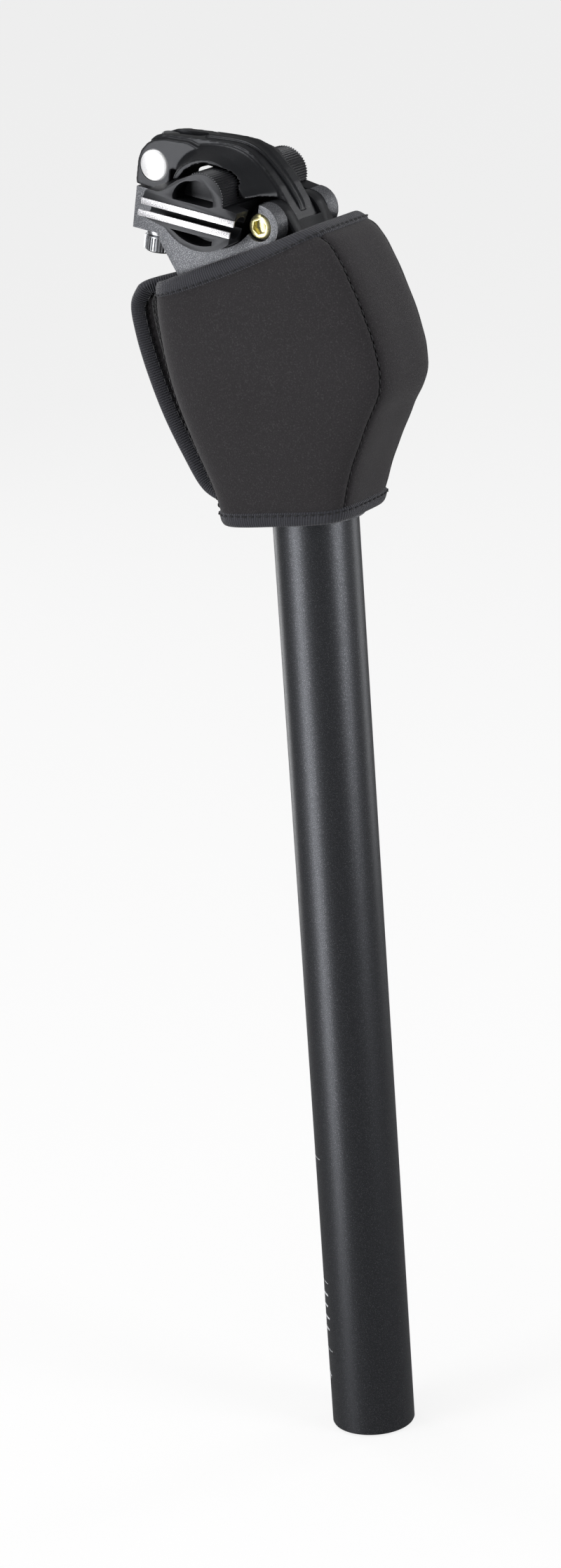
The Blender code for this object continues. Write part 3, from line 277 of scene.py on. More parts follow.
@dataclass(frozen=True)
class Finish:
    """One finish: its colours, gloss and grain.

    Attributes:
        name: the material's name.
        slot: the record's material slot that the finish belongs to; not used.
        base: main colour, linear.
        fleck: colour of the bright grains or loops.
        worn: colour of the rubbed edges; on the lips it is a painted highlight along the edges.
        coat: which pattern group is used.
        metallic: metal share.
        roughness: mean roughness.
        scale: grains per metre.
        threshold: noise value above which a grain is bright.
        bump: depth of the grain in metres.
        wear: share of the worn colour on edges.
        sheen: cloth sheen weight.
    """

    name: str
    slot: str
    base: Colour
    fleck: Colour
    worn: Colour = (0.2, 0.2, 0.21)
    coat: Coat = Coat.METAL
    metallic: float = 0.8
    roughness: float = 0.4
    scale: float = 3000.0
    threshold: float = 0.6
    bump: float = 0.00001
    wear: float = 0.5
    sheen: float = 0.0

    def material(self) -> bpy.types.Material:
        """Builds the material, or returns it if it is there already."""
        known = bpy.data.materials.get(self.name)
        if known:
            return known
        made = bpy.data.materials.new(self.name)
        made.use_nodes = True
        graph = Graph(made.node_tree)
        shader = made.node_tree.nodes["Principled BSDF"]
        shader.inputs["Metallic"].default_value = self.metallic
        shader.inputs["Sheen Weight"].default_value = self.sheen
        shader.inputs["Sheen Roughness"].default_value = 0.45
        place = graph.add("ShaderNodeTexCoord")
        if self.coat in (Coat.METAL, Coat.PLAIN):
            colour, height, mask = self._metal(graph, place)
        elif self.coat is Coat.KNIT:
            colour, height, mask = self._knit(graph, place)
        else:
            colour, height, mask = self._tape(graph, place)
        graph.link(colour, shader.inputs["Base Color"])
        rough = graph.add("ShaderNodeMapRange", {"Value": mask, "To Min": self.roughness,
                                                 "To Max": max(0.05, self.roughness - 0.12)})
        graph.link(rough.outputs["Result"], shader.inputs["Roughness"])
        bump = graph.add("ShaderNodeBump", {"Strength": 1.0, "Distance": self.bump, "Height": height})
        graph.link(bump.outputs["Normal"], shader.inputs["Normal"])
        return made

    def _mix(
        self,
        graph: Graph,
        share: bpy.types.NodeSocket,
        low: object,
        high: object,
    ) -> bpy.types.NodeSocket:
        """Mixes two colours, each a colour or a colour socket.

        Args:
            graph: where to add the node.
            share: the mask.
            low: the colour where the mask is 0.
            high: the colour where the mask is 1.

        Returns:
            The mixed colour's socket.
        """
        node = graph.add("ShaderNodeMix", data_type="RGBA")
        graph.link(share, node.inputs[0])
        for index, value in ((6, low), (7, high)):
            if isinstance(value, bpy.types.NodeSocket):
                graph.link(value, node.inputs[index])
            else:
                node.inputs[index].default_value = (*value, 1.0)
        return node.outputs[2]

    def _group(self, graph: Graph, tree: bpy.types.NodeTree, inputs: dict) -> bpy.types.Node:
        """Places a shared group with its own values."""
        node = graph.add("ShaderNodeGroup", node_tree=tree)
        for name, value in inputs.items():
            if isinstance(value, bpy.types.NodeSocket):
                graph.link(value, node.inputs[name])
            else:
                node.inputs[name].default_value = value
        return node

    def _metal(self, graph: Graph, place: bpy.types.Node) -> tuple:
        """Grain and rubbed edges over the base colour; on the lips the edge colour is painted highlight."""
        where = place.outputs["Object"]
        grain = self._group(graph, GROUPS.speckle, {"Vector": where, "Scale": self.scale,
                                                    "Threshold": self.threshold})
        edge = self._group(graph, GROUPS.edge, {"Vector": where})
        colour = self._mix(graph, grain.outputs["Mask"], self.base, self.fleck)
        share = graph.add("ShaderNodeMath", {0: edge.outputs["Mask"], 1: self.wear}, operation="MULTIPLY")
        return self._mix(
            graph,
            share.outputs[0],
            colour,
            self.worn,
        ), grain.outputs["Height"], grain.outputs["Mask"]

    def _knit(self, graph: Graph, place: bpy.types.Node) -> tuple:
        """Jersey loops, with colour that varies slowly over the sheet."""
        where = place.outputs["Object"]
        knit = self._group(graph, GROUPS.knit, {"Vector": where, "Loops Per Metre": self.scale})
        slow = graph.add("ShaderNodeTexNoise", {"Vector": where, "Scale": 60.0, "Detail": 2.0})
        tone = self._mix(graph, slow.outputs["Fac"], self.base, self.worn)
        return self._mix(
            graph,
            knit.outputs["Fleck"],
            tone,
            self.fleck,
        ), knit.outputs["Height"], knit.outputs["Fleck"]

    def _tape(self, graph: Graph, place: bpy.types.Node) -> tuple:
        """Woven ribs that follow the piece's own UV map."""
        ribs = self._group(graph, GROUPS.ribs, {"Vector": place.outputs["UV"], "Ribs Per Metre": self.scale})
        return self._mix(
            graph,
            ribs.outputs["Height"],
            self.base,
            self.fleck,
        ), ribs.outputs["Height"], ribs.outputs["Height"]


ANODISED = Finish("Satin black anodised", "anodised_black", (0.050, 0.052, 0.058), (0.17, 0.175, 0.19),
                  metallic=0.75, roughness=0.40, scale=4200.0, threshold=0.56, wear=0.2)
DARK_FORGING = Finish("Dark anodised forging", "dark_forging", (0.020, 0.021, 0.024), (0.045, 0.046, 0.05),
                      worn=(0.09, 0.09, 0.1), metallic=0.55, roughness=0.36, scale=2600.0,
                      threshold=0.6, wear=0.35)
GREY_FORGING = Finish("Blasted grey forging", "grey_forging", (0.085, 0.088, 0.098), (0.26, 0.265, 0.28),
                      worn=(0.3, 0.3, 0.32), metallic=0.6, roughness=0.5, scale=3400.0, threshold=0.52,
                      bump=0.00003, wear=0.45)
# Painted highlight: the light grey, the bright flecks and the near-white edges stand in for studio light
# caught on the rounded rail lips, which are of the dark forging.
LIP_PAINTED_HIGHLIGHT = Finish("Lip grey with painted highlight", "dark_forging", (0.20, 0.20, 0.21), (0.75, 0.74, 0.77),
                  worn=(0.9, 0.9, 0.92), metallic=0.7, roughness=0.42, scale=3000.0, threshold=0.42,
                  bump=0.00003, wear=0.9)
BRIGHT_NUT = Finish("Bright turned aluminium", "bright_nut", (0.86, 0.86, 0.87), (0.95, 0.95, 0.96),
                    worn=(0.5, 0.5, 0.5), metallic=0.25, roughness=0.3, bump=0.000003, wear=0.6)
STEEL = Finish("Turned steel", "steel", (0.40, 0.41, 0.43), (0.6, 0.6, 0.62), worn=(0.75, 0.75, 0.77),
               metallic=1.0, roughness=0.3, scale=1800.0, bump=0.000004)
ZINC = Finish("Yellow zinc plate", "zinc_yellow", (0.72, 0.66, 0.34), (0.85, 0.82, 0.5), worn=(0.9,
              0.88, 0.7),
              metallic=0.9, roughness=0.28, scale=1500.0, bump=0.000004)
POLYMER = Finish("Moulded acetal", "polymer", (0.03, 0.03, 0.032), (0.045, 0.045, 0.047), coat=Coat.PLAIN,
                 worn=(0.08, 0.08, 0.08), metallic=0.0, roughness=0.5, scale=2200.0, bump=0.000006, wear=0.2)
BEARING = Finish("Bearing lining", "bearing", (0.42, 0.36, 0.2), (0.55, 0.5, 0.32), metallic=0.4,
                 roughness=0.45,
                 worn=(0.6, 0.55, 0.4), scale=2500.0, bump=0.000005)
ELASTOMER = Finish("Elastomer", "elastomer", (0.016, 0.016, 0.016), (0.03, 0.03, 0.03), coat=Coat.PLAIN,
                   worn=(0.04, 0.04, 0.04), metallic=0.0, roughness=0.75, bump=0.00001, wear=0.1)
NEOPRENE = Finish("Jersey-faced neoprene", "neoprene", (0.0135, 0.0115, 0.0135), (0.052, 0.048, 0.052),
                  worn=(0.018, 0.016, 0.0185), coat=Coat.KNIT, metallic=0.0, roughness=0.92, scale=2300.0,
                  bump=0.00012, sheen=0.12)
TAPE = Finish("Ribbed binding tape", "webbing", (0.009, 0.009, 0.013), (0.032, 0.033, 0.045), coat=Coat.TAPE,
              metallic=0.0, roughness=0.75, scale=1250.0, bump=0.00022, sheen=0.2)
THREAD = Finish("Black thread", "webbing", (0.007, 0.007, 0.009), (0.03, 0.03, 0.035), coat=Coat.PLAIN,
                worn=(0.02, 0.02, 0.02), metallic=0.0, roughness=0.6, scale=5000.0, bump=0.00003, wear=0.0)
LOOP_PILE = Finish("Hook-and-loop pile", "webbing", (0.004, 0.004, 0.0045), (0.02, 0.02, 0.022),
                   coat=Coat.KNIT,
                   worn=(0.008, 0.008, 0.009), metallic=0.0, roughness=0.6, scale=1300.0, bump=0.0003,
                   sheen=0.1)
PRINT = Finish("Pale print", "anodised_black", (0.55, 0.56, 0.58), (0.7, 0.7, 0.72), coat=Coat.PLAIN,
               metallic=0.0, roughness=0.5, scale=2500.0, bump=0.000002, wear=0.0)


# ---------------------------------------------------------------- shapes
@dataclass(frozen=True)
class ClampAxes:
    """The saddle clamp's own axes: u along the rails towards the front, v square to them."""

    centre: Pair = (-0.0236, 0.4066)
    tilt: float = math.radians(-11.4)

    def xz(self, u: float, v: float) -> Pair:
        """A clamp point in the frame's X and Z."""
        c, s = math.cos(self.tilt), math.sin(self.tilt)
        return self.centre[0] + u * c - v * s, self.centre[1] + u * s + v * c

    def outline(self, points: Sequence[Pair]) -> list[Pair]:
        """An outline given in millimetres of u and v, in metres of X and Z."""
        return [self.xz(u / 1000, v / 1000) for u, v in points]

    def point(self, u: float, v: float, y: float = 0.0) -> Vector:
        """A point given in millimetres of u, v and Y."""
        x, z = self.xz(u / 1000, v / 1000)
        return Vector((x, y / 1000, z))

    @property
    def up(self) -> Vector:
        """The direction of v."""
        return Vector((-math.sin(self.tilt), 0, math.cos(self.tilt)))


CLAMP = ClampAxes()


def arc(centre: Pair, radius: float, start: float, end: float, steps: int) -> list[Pair]:
    """Points of a circular arc.

    Args:
        centre: its centre.
        radius: its radius.
        start: first angle in degrees.
        end: last angle in degrees.
        steps: the number of chords.

    Returns:
        steps + 1 points, both ends included.
    """
    angles = np.radians(np.linspace(start, end, steps + 1))
    return [(centre[0] + radius * math.cos(a), centre[1] + radius * math.sin(a)) for a in angles]


def new_object(name: str, points: Sequence, faces: Sequence, smooth: bool = True) -> bpy.types.Object:
    """A mesh object at the origin whose doubles are merged and whose faces point outwards."""
    mesh = bpy.data.meshes.new(name)
    mesh.from_pydata([tuple(p) for p in points], [], [tuple(f) for f in faces])
    work = bmesh.new()
    work.from_mesh(mesh)
    bmesh.ops.remove_doubles(work, verts=work.verts, dist=1e-7)
    bmesh.ops.recalc_face_normals(work, faces=work.faces)
    work.to_mesh(mesh)
    work.free()
    made = bpy.data.objects.new(name, mesh)
    bpy.context.scene.collection.objects.link(made)
    if smooth:
        mesh.shade_smooth()
    return made


def prism(name: str, outline: Sequence[Pair], low: float, high: float) -> bpy.types.Object:
    """An outline in X and Z drawn out along Y.

    Args:
        name: the object's name.
        outline: its corners in order, in metres.
        low: lower Y.
        high: upper Y.

    Returns:
        A closed solid.
    """
    count = len(outline)
    points = [(x, low, z) for x, z in outline] + [(x, high, z) for x, z in outline]
    faces = [tuple(range(count)), tuple(range(2 * count - 1, count - 1, -1))]
    faces += [(i, (i + 1) % count, count + (i + 1) % count, count + i) for i in range(count)]
    return new_object(name, points, faces, smooth=False)


def lathe(
    name: str,
    profile: Sequence[Pair],
    centre: Vector,
    axis: Vector,
    steps: int = 64,
) -> bpy.types.Object:
    """A profile turned about an axis.

    Args:
        name: the object's name.
        profile: (radius, height) points in order; it closes on itself or ends on the axis.
        centre: where height is 0.
        axis: the axis the height runs along.
        steps: facets round the axis.

    Returns:
        A closed solid of revolution.
    """
    turn = Vector((0, 0, 1)).rotation_difference(axis).to_matrix()
    on_axis = profile[0][0] == 0
    rows = []
    for radius, height in profile:
        ring = [turn @ Vector((radius * math.cos(a), radius * math.sin(a), height)) + centre
                for a in np.linspace(0, 2 * math.pi, steps, endpoint=False)]
        rows.append(ring)
    points = [p for ring in rows for p in ring]
    faces = []
    spans = len(rows) - 1 if on_axis else len(rows)
    for i in range(spans):
        a, b = i * steps, ((i + 1) % len(rows)) * steps
        faces += [(a + j, a + (j + 1) % steps, b + (j + 1) % steps, b + j) for j in range(steps)]
    return new_object(name, points, faces)


def settle(thing: bpy.types.Object) -> bpy.types.Object:
    """Turns an object's modifiers into plain mesh and removes them."""
    bpy.context.view_layer.update()
    graph = bpy.context.evaluated_depsgraph_get()
    mesh = bpy.data.meshes.new_from_object(thing.evaluated_get(graph))
    thing.modifiers.clear()
    thing.data = mesh
    return thing


def combine(thing: bpy.types.Object, tool: bpy.types.Object, operation: str) -> bpy.types.Object:
    """Joins or cuts with another solid, which is then removed."""
    step = thing.modifiers.new("combine", "BOOLEAN")
    step.operation, step.solver, step.object = operation, "EXACT", tool
    settle(thing)
    bpy.data.objects.remove(tool, do_unlink=True)
    work = bmesh.new()
    work.from_mesh(thing.data)
    bmesh.ops.remove_doubles(work, verts=work.verts, dist=2e-6)
    bmesh.ops.dissolve_degenerate(work, edges=work.edges, dist=1e-6)
    work.to_mesh(thing.data)
    work.free()
    return thing


def forged(thing: bpy.types.Object, voxel: float, rounds: int) -> bpy.types.Object:
    """Gives a solid the soft fillets of a forging.

    Args:
        thing: a closed solid with sharp edges.
        voxel: the size of the even mesh it becomes.
        rounds: smoothing steps; more of them round the edges wider.

    Returns:
        The same object.
    """
    even = thing.modifiers.new("even", "REMESH")
    even.mode, even.voxel_size, even.use_smooth_shade = "VOXEL", voxel, True
    soft = thing.modifiers.new("soft", "SMOOTH")
    soft.factor, soft.iterations = 0.5, rounds
    return settle(thing)


def crisp(thing: bpy.types.Object, width: float, segments: int = 2, angle: float = 32.0) -> bpy.types.Object:
    """Bevels a machined solid's edges and shades its curves smooth.

    Args:
        thing: a closed solid.
        width: the bevel's width.
        segments: rows of faces in the bevel.
        angle: edges sharper than this, in degrees, are bevelled.

    Returns:
        The same object.
    """
    work = bmesh.new()
    work.from_mesh(thing.data)
    bmesh.ops.remove_doubles(work, verts=work.verts, dist=2e-6)
    bmesh.ops.dissolve_limit(work, angle_limit=math.radians(0.8), verts=work.verts, edges=work.edges)
    work.to_mesh(thing.data)
    work.free()
    edge = thing.modifiers.new("edge", "BEVEL")
    edge.width, edge.segments, edge.limit_method = width, segments, "ANGLE"
    edge.angle_limit, edge.use_clamp_overlap = math.radians(angle), True
    settle(thing)
    thing.data.shade_smooth()
    thing.data.set_sharp_from_angle(angle=math.radians(38))
    return thing


def copy_of(node: str) -> bpy.types.Object:
    """A merged copy of a CAD node, to be given softer edges."""
    source = frame["nodes"][node]
    made = bpy.data.objects.new(node + "_look", source.data.copy())
    bpy.context.scene.collection.objects.link(made)
    made.data.materials.clear()
    work = bmesh.new()
    work.from_mesh(made.data)
    bmesh.ops.remove_doubles(work, verts=work.verts, dist=1e-6)
    bmesh.ops.recalc_face_normals(work, faces=work.faces)
    work.to_mesh(made.data)
    work.free()
    return made


def attach(thing: bpy.types.Object, finish: Finish, body: str, nodes: Sequence[str] = ()) -> bpy.types.Object:
    """Dresses a finished piece, lets it ride on its body and hides the nodes it stands for.

    Args:
        thing: the piece.
        finish: its main finish.
        body: the body it moves with.
        nodes: the CAD nodes that it replaces.

    Returns:
        The same piece.
    """
    if not thing.data.materials:
        thing.data.materials.append(finish.material())
    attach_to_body(thing, body)
    if nodes:
        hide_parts(*nodes)
    LOG.info("%s: %d faces on %s", thing.name, len(thing.data.polygons), body)
    return thing


# ---------------------------------------------------------------- repeats made with Geometry Nodes
class Repeater:
    """Places one small shape at an even pitch along a path, turned to follow it and to face outwards."""

    def __init__(self) -> None:
        """Builds the node tree once."""
        tree = bpy.data.node_groups.new("Repeat along a path", "GeometryNodeTree")
        face = tree.interface
        face.new_socket(name="Geometry", in_out="INPUT", socket_type="NodeSocketGeometry")
        face.new_socket(name="Pitch", in_out="INPUT", socket_type="NodeSocketFloat")
        face.new_socket(name="Shape", in_out="INPUT", socket_type="NodeSocketObject")
        face.new_socket(name="Finish", in_out="INPUT", socket_type="NodeSocketMaterial")
        face.new_socket(name="Unevenness", in_out="INPUT", socket_type="NodeSocketFloat")
        face.new_socket(name="Geometry", in_out="OUTPUT", socket_type="NodeSocketGeometry")
        graph = Graph(tree)
        given, out = graph.add("NodeGroupInput"), graph.add("NodeGroupOutput")
        curve = graph.add("GeometryNodeMeshToCurve", {"Mesh": given.outputs["Geometry"]})
        spots = graph.add("GeometryNodeCurveToPoints", {"Curve": curve.outputs[0],
                          "Length": given.outputs["Pitch"]},
                          mode="LENGTH")
        outward = graph.add("GeometryNodeInputNamedAttribute", {"Name": "outward"}, data_type="FLOAT_VECTOR")
        along = graph.add("FunctionNodeAlignRotationToVector", {"Vector": spots.outputs["Tangent"]}, axis="Z")
        facing = graph.add("FunctionNodeAlignRotationToVector",
                           {"Rotation": along.outputs[0], "Vector": outward.outputs[0]}, axis="X",
                           pivot_axis="Z")
        shape = graph.add("GeometryNodeObjectInfo", {"Object": given.outputs["Shape"]})
        low = graph.add("ShaderNodeMath", {0: 1.0, 1: given.outputs["Unevenness"]}, operation="SUBTRACT")
        high = graph.add("ShaderNodeMath", {0: 1.0, 1: given.outputs["Unevenness"]}, operation="ADD")
        size = graph.add("FunctionNodeRandomValue", {2: low.outputs[0], 3: high.outputs[0], "Seed": 7},
                         data_type="FLOAT")
        placed = graph.add("GeometryNodeInstanceOnPoints",
                           {"Points": spots.outputs["Points"], "Instance": shape.outputs["Geometry"],
                            "Rotation": facing.outputs[0], "Scale": size.outputs[1]})
        real = graph.add("GeometryNodeRealizeInstances", {"Geometry": placed.outputs[0]})
        dressed = graph.add("GeometryNodeSetMaterial",
                            {"Geometry": real.outputs[0], "Material": given.outputs["Finish"]})
        graph.link(dressed.outputs[0], out.inputs["Geometry"])
        self.tree = tree
        self.ids = {item.name: item.identifier for item in face.items_tree if item.in_out == "INPUT"}

    def run(self, name: str, path: Sequence[Vector], outward: Sequence[Vector], pitch: float,
            shape: bpy.types.Object, finish: Finish, closed: bool = False,
            uneven: float = 0.0) -> bpy.types.Object:
        """Makes one row.

        Args:
            name: the piece's name.
            path: points of the path.
            outward: the direction each point's shape turns its X axis to.
            pitch: distance between shapes.
            shape: the small shape, its length along Z.
            finish: its finish.
            closed: whether the path returns to its start.
            uneven: share by which sizes vary.

        Returns:
            A plain mesh piece.
        """
        count = len(path)
        mesh = bpy.data.meshes.new(name)
        edges = [(i, i + 1) for i in range(count - 1)] + ([(count - 1, 0)] if closed else [])
        mesh.from_pydata([tuple(p) for p in path], edges, [])
        facing = mesh.attributes.new("outward", "FLOAT_VECTOR", "POINT")
        facing.data.foreach_set("vector", np.array([tuple(o) for o in outward], np.float32).ravel())
        made = bpy.data.objects.new(name, mesh)
        bpy.context.scene.collection.objects.link(made)
        step = made.modifiers.new("repeat", "NODES")
        step.node_group = self.tree
        step[self.ids["Pitch"]] = pitch
        step[self.ids["Shape"]] = shape
        step[self.ids["Finish"]] = finish.material()
        step[self.ids["Unevenness"]] = uneven
        settle(made)
        made.data.shade_smooth()
        bpy.data.objects.remove(shape, do_unlink=True)
        return made


REPEAT = Repeater()


def stitch_shape(length: float, width: float, rise: float) -> bpy.types.Object:
    """One stitch: a short plump thread along Z that dives at both ends."""
    rows, sides = 6, 6
    points = []
    for i in range(rows + 1):
        t = i / rows
        swell = 0.55 + 0.45 * math.sin(math.pi * t)
        lift = rise * (math.sin(math.pi * t) - 0.35)
        for j in range(sides):
            a = 2 * math.pi * j / sides
            points.append((lift + swell * width / 2 * math.cos(a), swell * width / 2 * math.sin(a),
                           (t - 0.5) * length))
    faces = [(i * sides + j, i * sides + (j + 1) % sides, (i + 1) * sides + (j + 1) % sides,
             (i + 1) * sides + j)
             for i in range(rows) for j in range(sides)]
    faces += [tuple(range(sides)), tuple(range((rows + 1) * sides - 1, rows * sides - 1, -1))]
    return new_object("stitch_shape", points, faces)


def ridge_shape(height: float, width: float, length: float) -> bpy.types.Object:
    """One tooth: a triangular ridge that stands out along X and runs along Y."""
    half = length / 2
    points = [(x, y, z) for y in (-half, half) for x, z in ((-0.35 * height, -width / 2), (height, 0),
                                                          (-0.35 * height, width / 2))]
    return new_object("ridge_shape", points, [(0, 1, 2), (5, 4, 3), (0, 3, 4, 1), (1, 4, 5, 2), (2, 5, 3, 0)],
                      smooth=False)


# ---------------------------------------------------------------- post
@dataclass
class Tube:
    """The anodised tube, with plain setting-out lines printed near its lower end."""

    radius: float = 0.0136
    bore: float = 0.0113
    top: float = 0.320
    chamfer: float = 0.0004

    def build(self) -> None:
        """Makes the tube and its print."""
        c = self.chamfer
        profile = [(self.bore, self.top), (self.radius - c, self.top), (self.radius, self.top - c),
                   (self.radius, 0.0006), (self.radius - 0.0002, 0.0002), (self.radius - 0.0006, 0.0),
                   (self.bore + c, 0.0), (self.bore, c)]
        tube = lathe("post_tube_look", profile, Vector(), Vector((0, 0, 1)), 128)
        tube.data.set_sharp_from_angle(angle=math.radians(35))
        attach(tube, ANODISED, "post", ["post_tube"])
        attach(self._print(), PRINT, "post")

    def _patch(self, angle: float, height: float, wide: float, tall: float) -> tuple[list, list]:
        """A thin curved patch on the tube, its angle in degrees and its sizes in metres."""
        lift, depth, steps = 0.00004, 0.00003, 10
        span = wide / self.radius
        points, faces = [], []
        for i in range(steps + 1):
            a = math.radians(angle) + (i / steps - 0.5) * span
            for r in (self.radius + lift, self.radius - depth):
                for z in (height - tall / 2, height + tall / 2):
                    points.append((r * math.cos(a), r * math.sin(a), z))
        for i in range(steps):
            a, b = 4 * i, 4 * i + 4
            faces += [(a, a + 1, b + 1, b), (a + 2, b + 2, b + 3, a + 3), (a, b, b + 2, a + 2),
                      (a + 1, a + 3, b + 3, b + 1)]
        faces += [(0, 2, 3, 1), (4 * steps, 4 * steps + 1, 4 * steps + 3, 4 * steps + 2)]
        return points, faces

    def _print(self) -> bpy.types.Object:
        """Setting-out lines, a row of height ticks and a plus mark, all plain."""
        marks = [
            (205.0, 0.0520, 0.0150, 0.00022),
            (205.0, 0.0275, 0.0150, 0.00022),
            (205.0, 0.0960, 0.0150, 0.00022),
        ]
        marks += [(212.0, 0.0476 - 0.0042 * i, 0.0105 - 0.0015 * (i % 2), 0.0007) for i in range(4)]
        marks += [(222.0, 0.0180, 0.0026, 0.00035), (222.0, 0.0180, 0.00035, 0.0026)]
        points, faces = [], []
        for mark in marks:
            more_points, more_faces = self._patch(*mark)
            faces += [tuple(i + len(points) for i in f) for f in more_faces]
            points += more_points
        return new_object("printed_marks", points, faces, smooth=False)


# ---------------------------------------------------------------- saddle clamp
@dataclass
class TopClamp:
    """The forged arch: a block round the barrel nut, a spine, a flared hood on each side and the tail.

    Outlines are in millimetres of the clamp's own axes.
    """

    block_half: float = 8.8
    spine_half: float = 6.5
    nut: Pair = (-23.0, 8.4)
    nut_radius: float = 5.08
    eye: Pair = (21.38, 0.64)
    tilt_centre: Pair = (4.3, 6.9)
    voxel: float = 0.00034
    sections: dict[float, list[Pair]] = field(default_factory=lambda: {
        5.6: [(-15.6, 8.4), (-15.2, 12.6), (-12.4, 16.2), (-8.2, 18.2), (-3.0, 19.2), (2.2, 19.6),
              (7.2, 18.9),
              (11.6, 16.9), (15.6, 14.0), (19.2, 10.9), (20.9, 8.9), (21.4, 7.4)],
        8.8: [(-14.6, 8.2), (-14.0, 11.2), (-11.5, 14.5), (-7.7, 16.9), (-3.0, 18.1), (2.1, 18.5),
              (6.8, 17.7),
              (10.7, 15.8), (14.2, 13.0), (17.2, 10.4), (18.8, 9.0), (19.3, 7.9)],
        12.0: [(-13.1, 8.0), (-12.5, 10.2), (-10.2, 13.2), (-6.9, 15.7), (-2.7, 17.1), (2.0, 17.4),
               (6.3, 16.6),
               (9.9, 14.7), (13.0, 12.0), (15.4, 9.8), (16.8, 8.9), (17.2, 8.0)],
        15.0: [(-11.8, 7.9), (-11.3, 9.8), (-9.3, 12.6), (-6.2, 15.0), (-2.5, 16.4), (1.8, 16.8), (5.8, 16.0),
               (9.2, 14.1), (12.1, 11.4), (14.2, 9.3), (15.4, 8.6), (15.9, 7.8)],
        17.0: [(-11.0, 8.0), (-10.5, 9.6), (-8.7, 12.3), (-5.8, 14.6), (-2.3, 16.1), (1.8, 16.5), (5.5, 15.7),
               (8.8, 13.8), (11.7, 11.1), (13.5, 9.1), (14.4, 8.4), (14.9, 7.7)],
    })

    def build(self) -> None:
        """Makes the arch with its soft fillets and the raised band on the spine."""
        arch = prism(
            "top_clamp_look",
            CLAMP.outline(self._spine()),
            -self.spine_half / 1000,
            self.spine_half / 1000,
        )
        half = self.block_half / 1000
        combine(arch, prism("block", CLAMP.outline(self._block()), -half, half), "UNION")
        for side in (-1, 1):
            combine(arch, self._hood(side), "UNION")
        for cutter in self._cutters():
            combine(arch, cutter, "DIFFERENCE")
        forged(arch, self.voxel, 7)
        for cutter in self._late_cutters():
            combine(arch, cutter, "DIFFERENCE")
        arch.data.shade_smooth()
        arch.data.set_sharp_from_angle(angle=math.radians(42))
        attach(arch, DARK_FORGING, "top_clamp", ["top_clamp"])
        attach(self._band(), DARK_FORGING, "top_clamp")

    def _block(self) -> list[Pair]:
        """Side outline of the rear block."""
        return [(-28.6, 1.4), (-29.0, 3.0), (-29.0, 9.0), (-28.2, 12.2), (-26.2, 14.8), (-23.6, 16.4),
                (-20.0, 17.3),
                (-12.0, 18.0), (-8.0, 17.0), (-9.0, 13.0), (-14.4, 8.2), (-17.6, 3.6), (-18.6, 1.4),
                (-20.0, 0.9)]

    def _spine(self) -> list[Pair]:
        """Side outline of the middle, from the block over the cradles to the tail."""
        tail = arc(self.eye, 6.4, 10, -150, 14)
        return [(-25.6, 6.0), (-26.4, 15.4), (-24.6, 17.2), (-20.5, 18.2), (-13.5, 19.0), (-6.0, 19.7),
                (0.0, 20.3),
                (4.8, 20.3), (8.6, 19.4), (
                    12.0,
                    17.6,
                ), (16.2, 14.4), (20.2, 10.8), (24.0, 6.6), (27.3, 2.4), *tail,
                (15.0, 8.5), (9.0, 12.8), (-5.0, 12.0), (-12.0, 9.0), (-18.0, 6.0)]

    def _hood(self, side: int) -> bpy.types.Object:
        """One flared hood, lofted from the spine out to its thin rim.

        Args:
            side: -1 for the right of the bicycle, 1 for its left.

        Returns:
            A closed solid.
        """
        rows = []
        for y, outer in self.sections.items():
            inner = arc((1.6, 3.4), 12.1, 21, 157, len(outer) - 1)
            loop = CLAMP.outline(self._fine(outer) + self._fine(inner))
            rows.append([Vector((x, side * y / 1000, z)) for x, z in loop])
        count = len(rows[0])
        points = [p for row in rows for p in row]
        faces = [(i * count + j, i * count + (j + 1) % count, (i + 1) * count + (j + 1) % count,
                 (i + 1) * count + j)
                 for i in range(len(rows) - 1) for j in range(count)]
        faces += [tuple(range(count)), tuple(range(len(rows) * count - 1, (len(rows) - 1) * count - 1, -1))]
        return new_object("hood", points, faces, smooth=False)

    def _fine(self, path: Sequence[Pair]) -> list[Pair]:
        """A smooth, finer copy of a path."""
        return [spline(path, t) for t in np.linspace(0, 1, 34)]

    def _cutters(self) -> list[bpy.types.Object]:
        """The room under the arch that the cradles turn in."""
        room = arc(self.tilt_centre, 8.5, -70, 128, 30) + [
            (-8.8, 8.8),
            (-10.4, 7.9),
            (-16.8, 8.6),
            (-16.8, -4),
        ]
        return [prism("room", CLAMP.outline(room), -0.03, 0.03)]

    def _late_cutters(self) -> list[bpy.types.Object]:
        """Cuts that keep crisp edges: the nut's hole, the eye of the tail and the open end of the slot."""
        across = Vector((0, 1, 0))
        nut = lathe("nut_hole", [(0, 0.03), (self.nut_radius / 1000, 0.03), (self.nut_radius / 1000, -0.03),
                                 (0, -0.03)], CLAMP.point(*self.nut), across, 72)
        eye = lathe("tail_eye", [(0, 0.03), (0.00408, 0.03), (0.00408, -0.03), (0, -0.03)],
                    CLAMP.point(*self.eye), across, 48)
        rounded = arc((-22.0, 0.0), 3.1, 90, 270, 12) + arc((-13.2, 0.0), 3.1, -90, 90, 12)
        base = [CLAMP.point(u, 14.8, y) for u, y in rounded]
        lid = [CLAMP.point(u, 24.0, y) for u, y in rounded]
        count = len(rounded)
        faces = [tuple(range(count)), tuple(range(2 * count - 1, count - 1, -1))]
        faces += [(i, (i + 1) % count, count + (i + 1) % count, count + i) for i in range(count)]
        swing = prism(
            "bolt_slot",
            CLAMP.outline([(-18.1, 16), (-18.1, -4), (-27.0, -4), (-27.0, 16)]),
            -0.0033,
            0.0033,
        )
        return [nut, eye, swing, new_object("open_slot", base + lid, faces, smooth=False)]

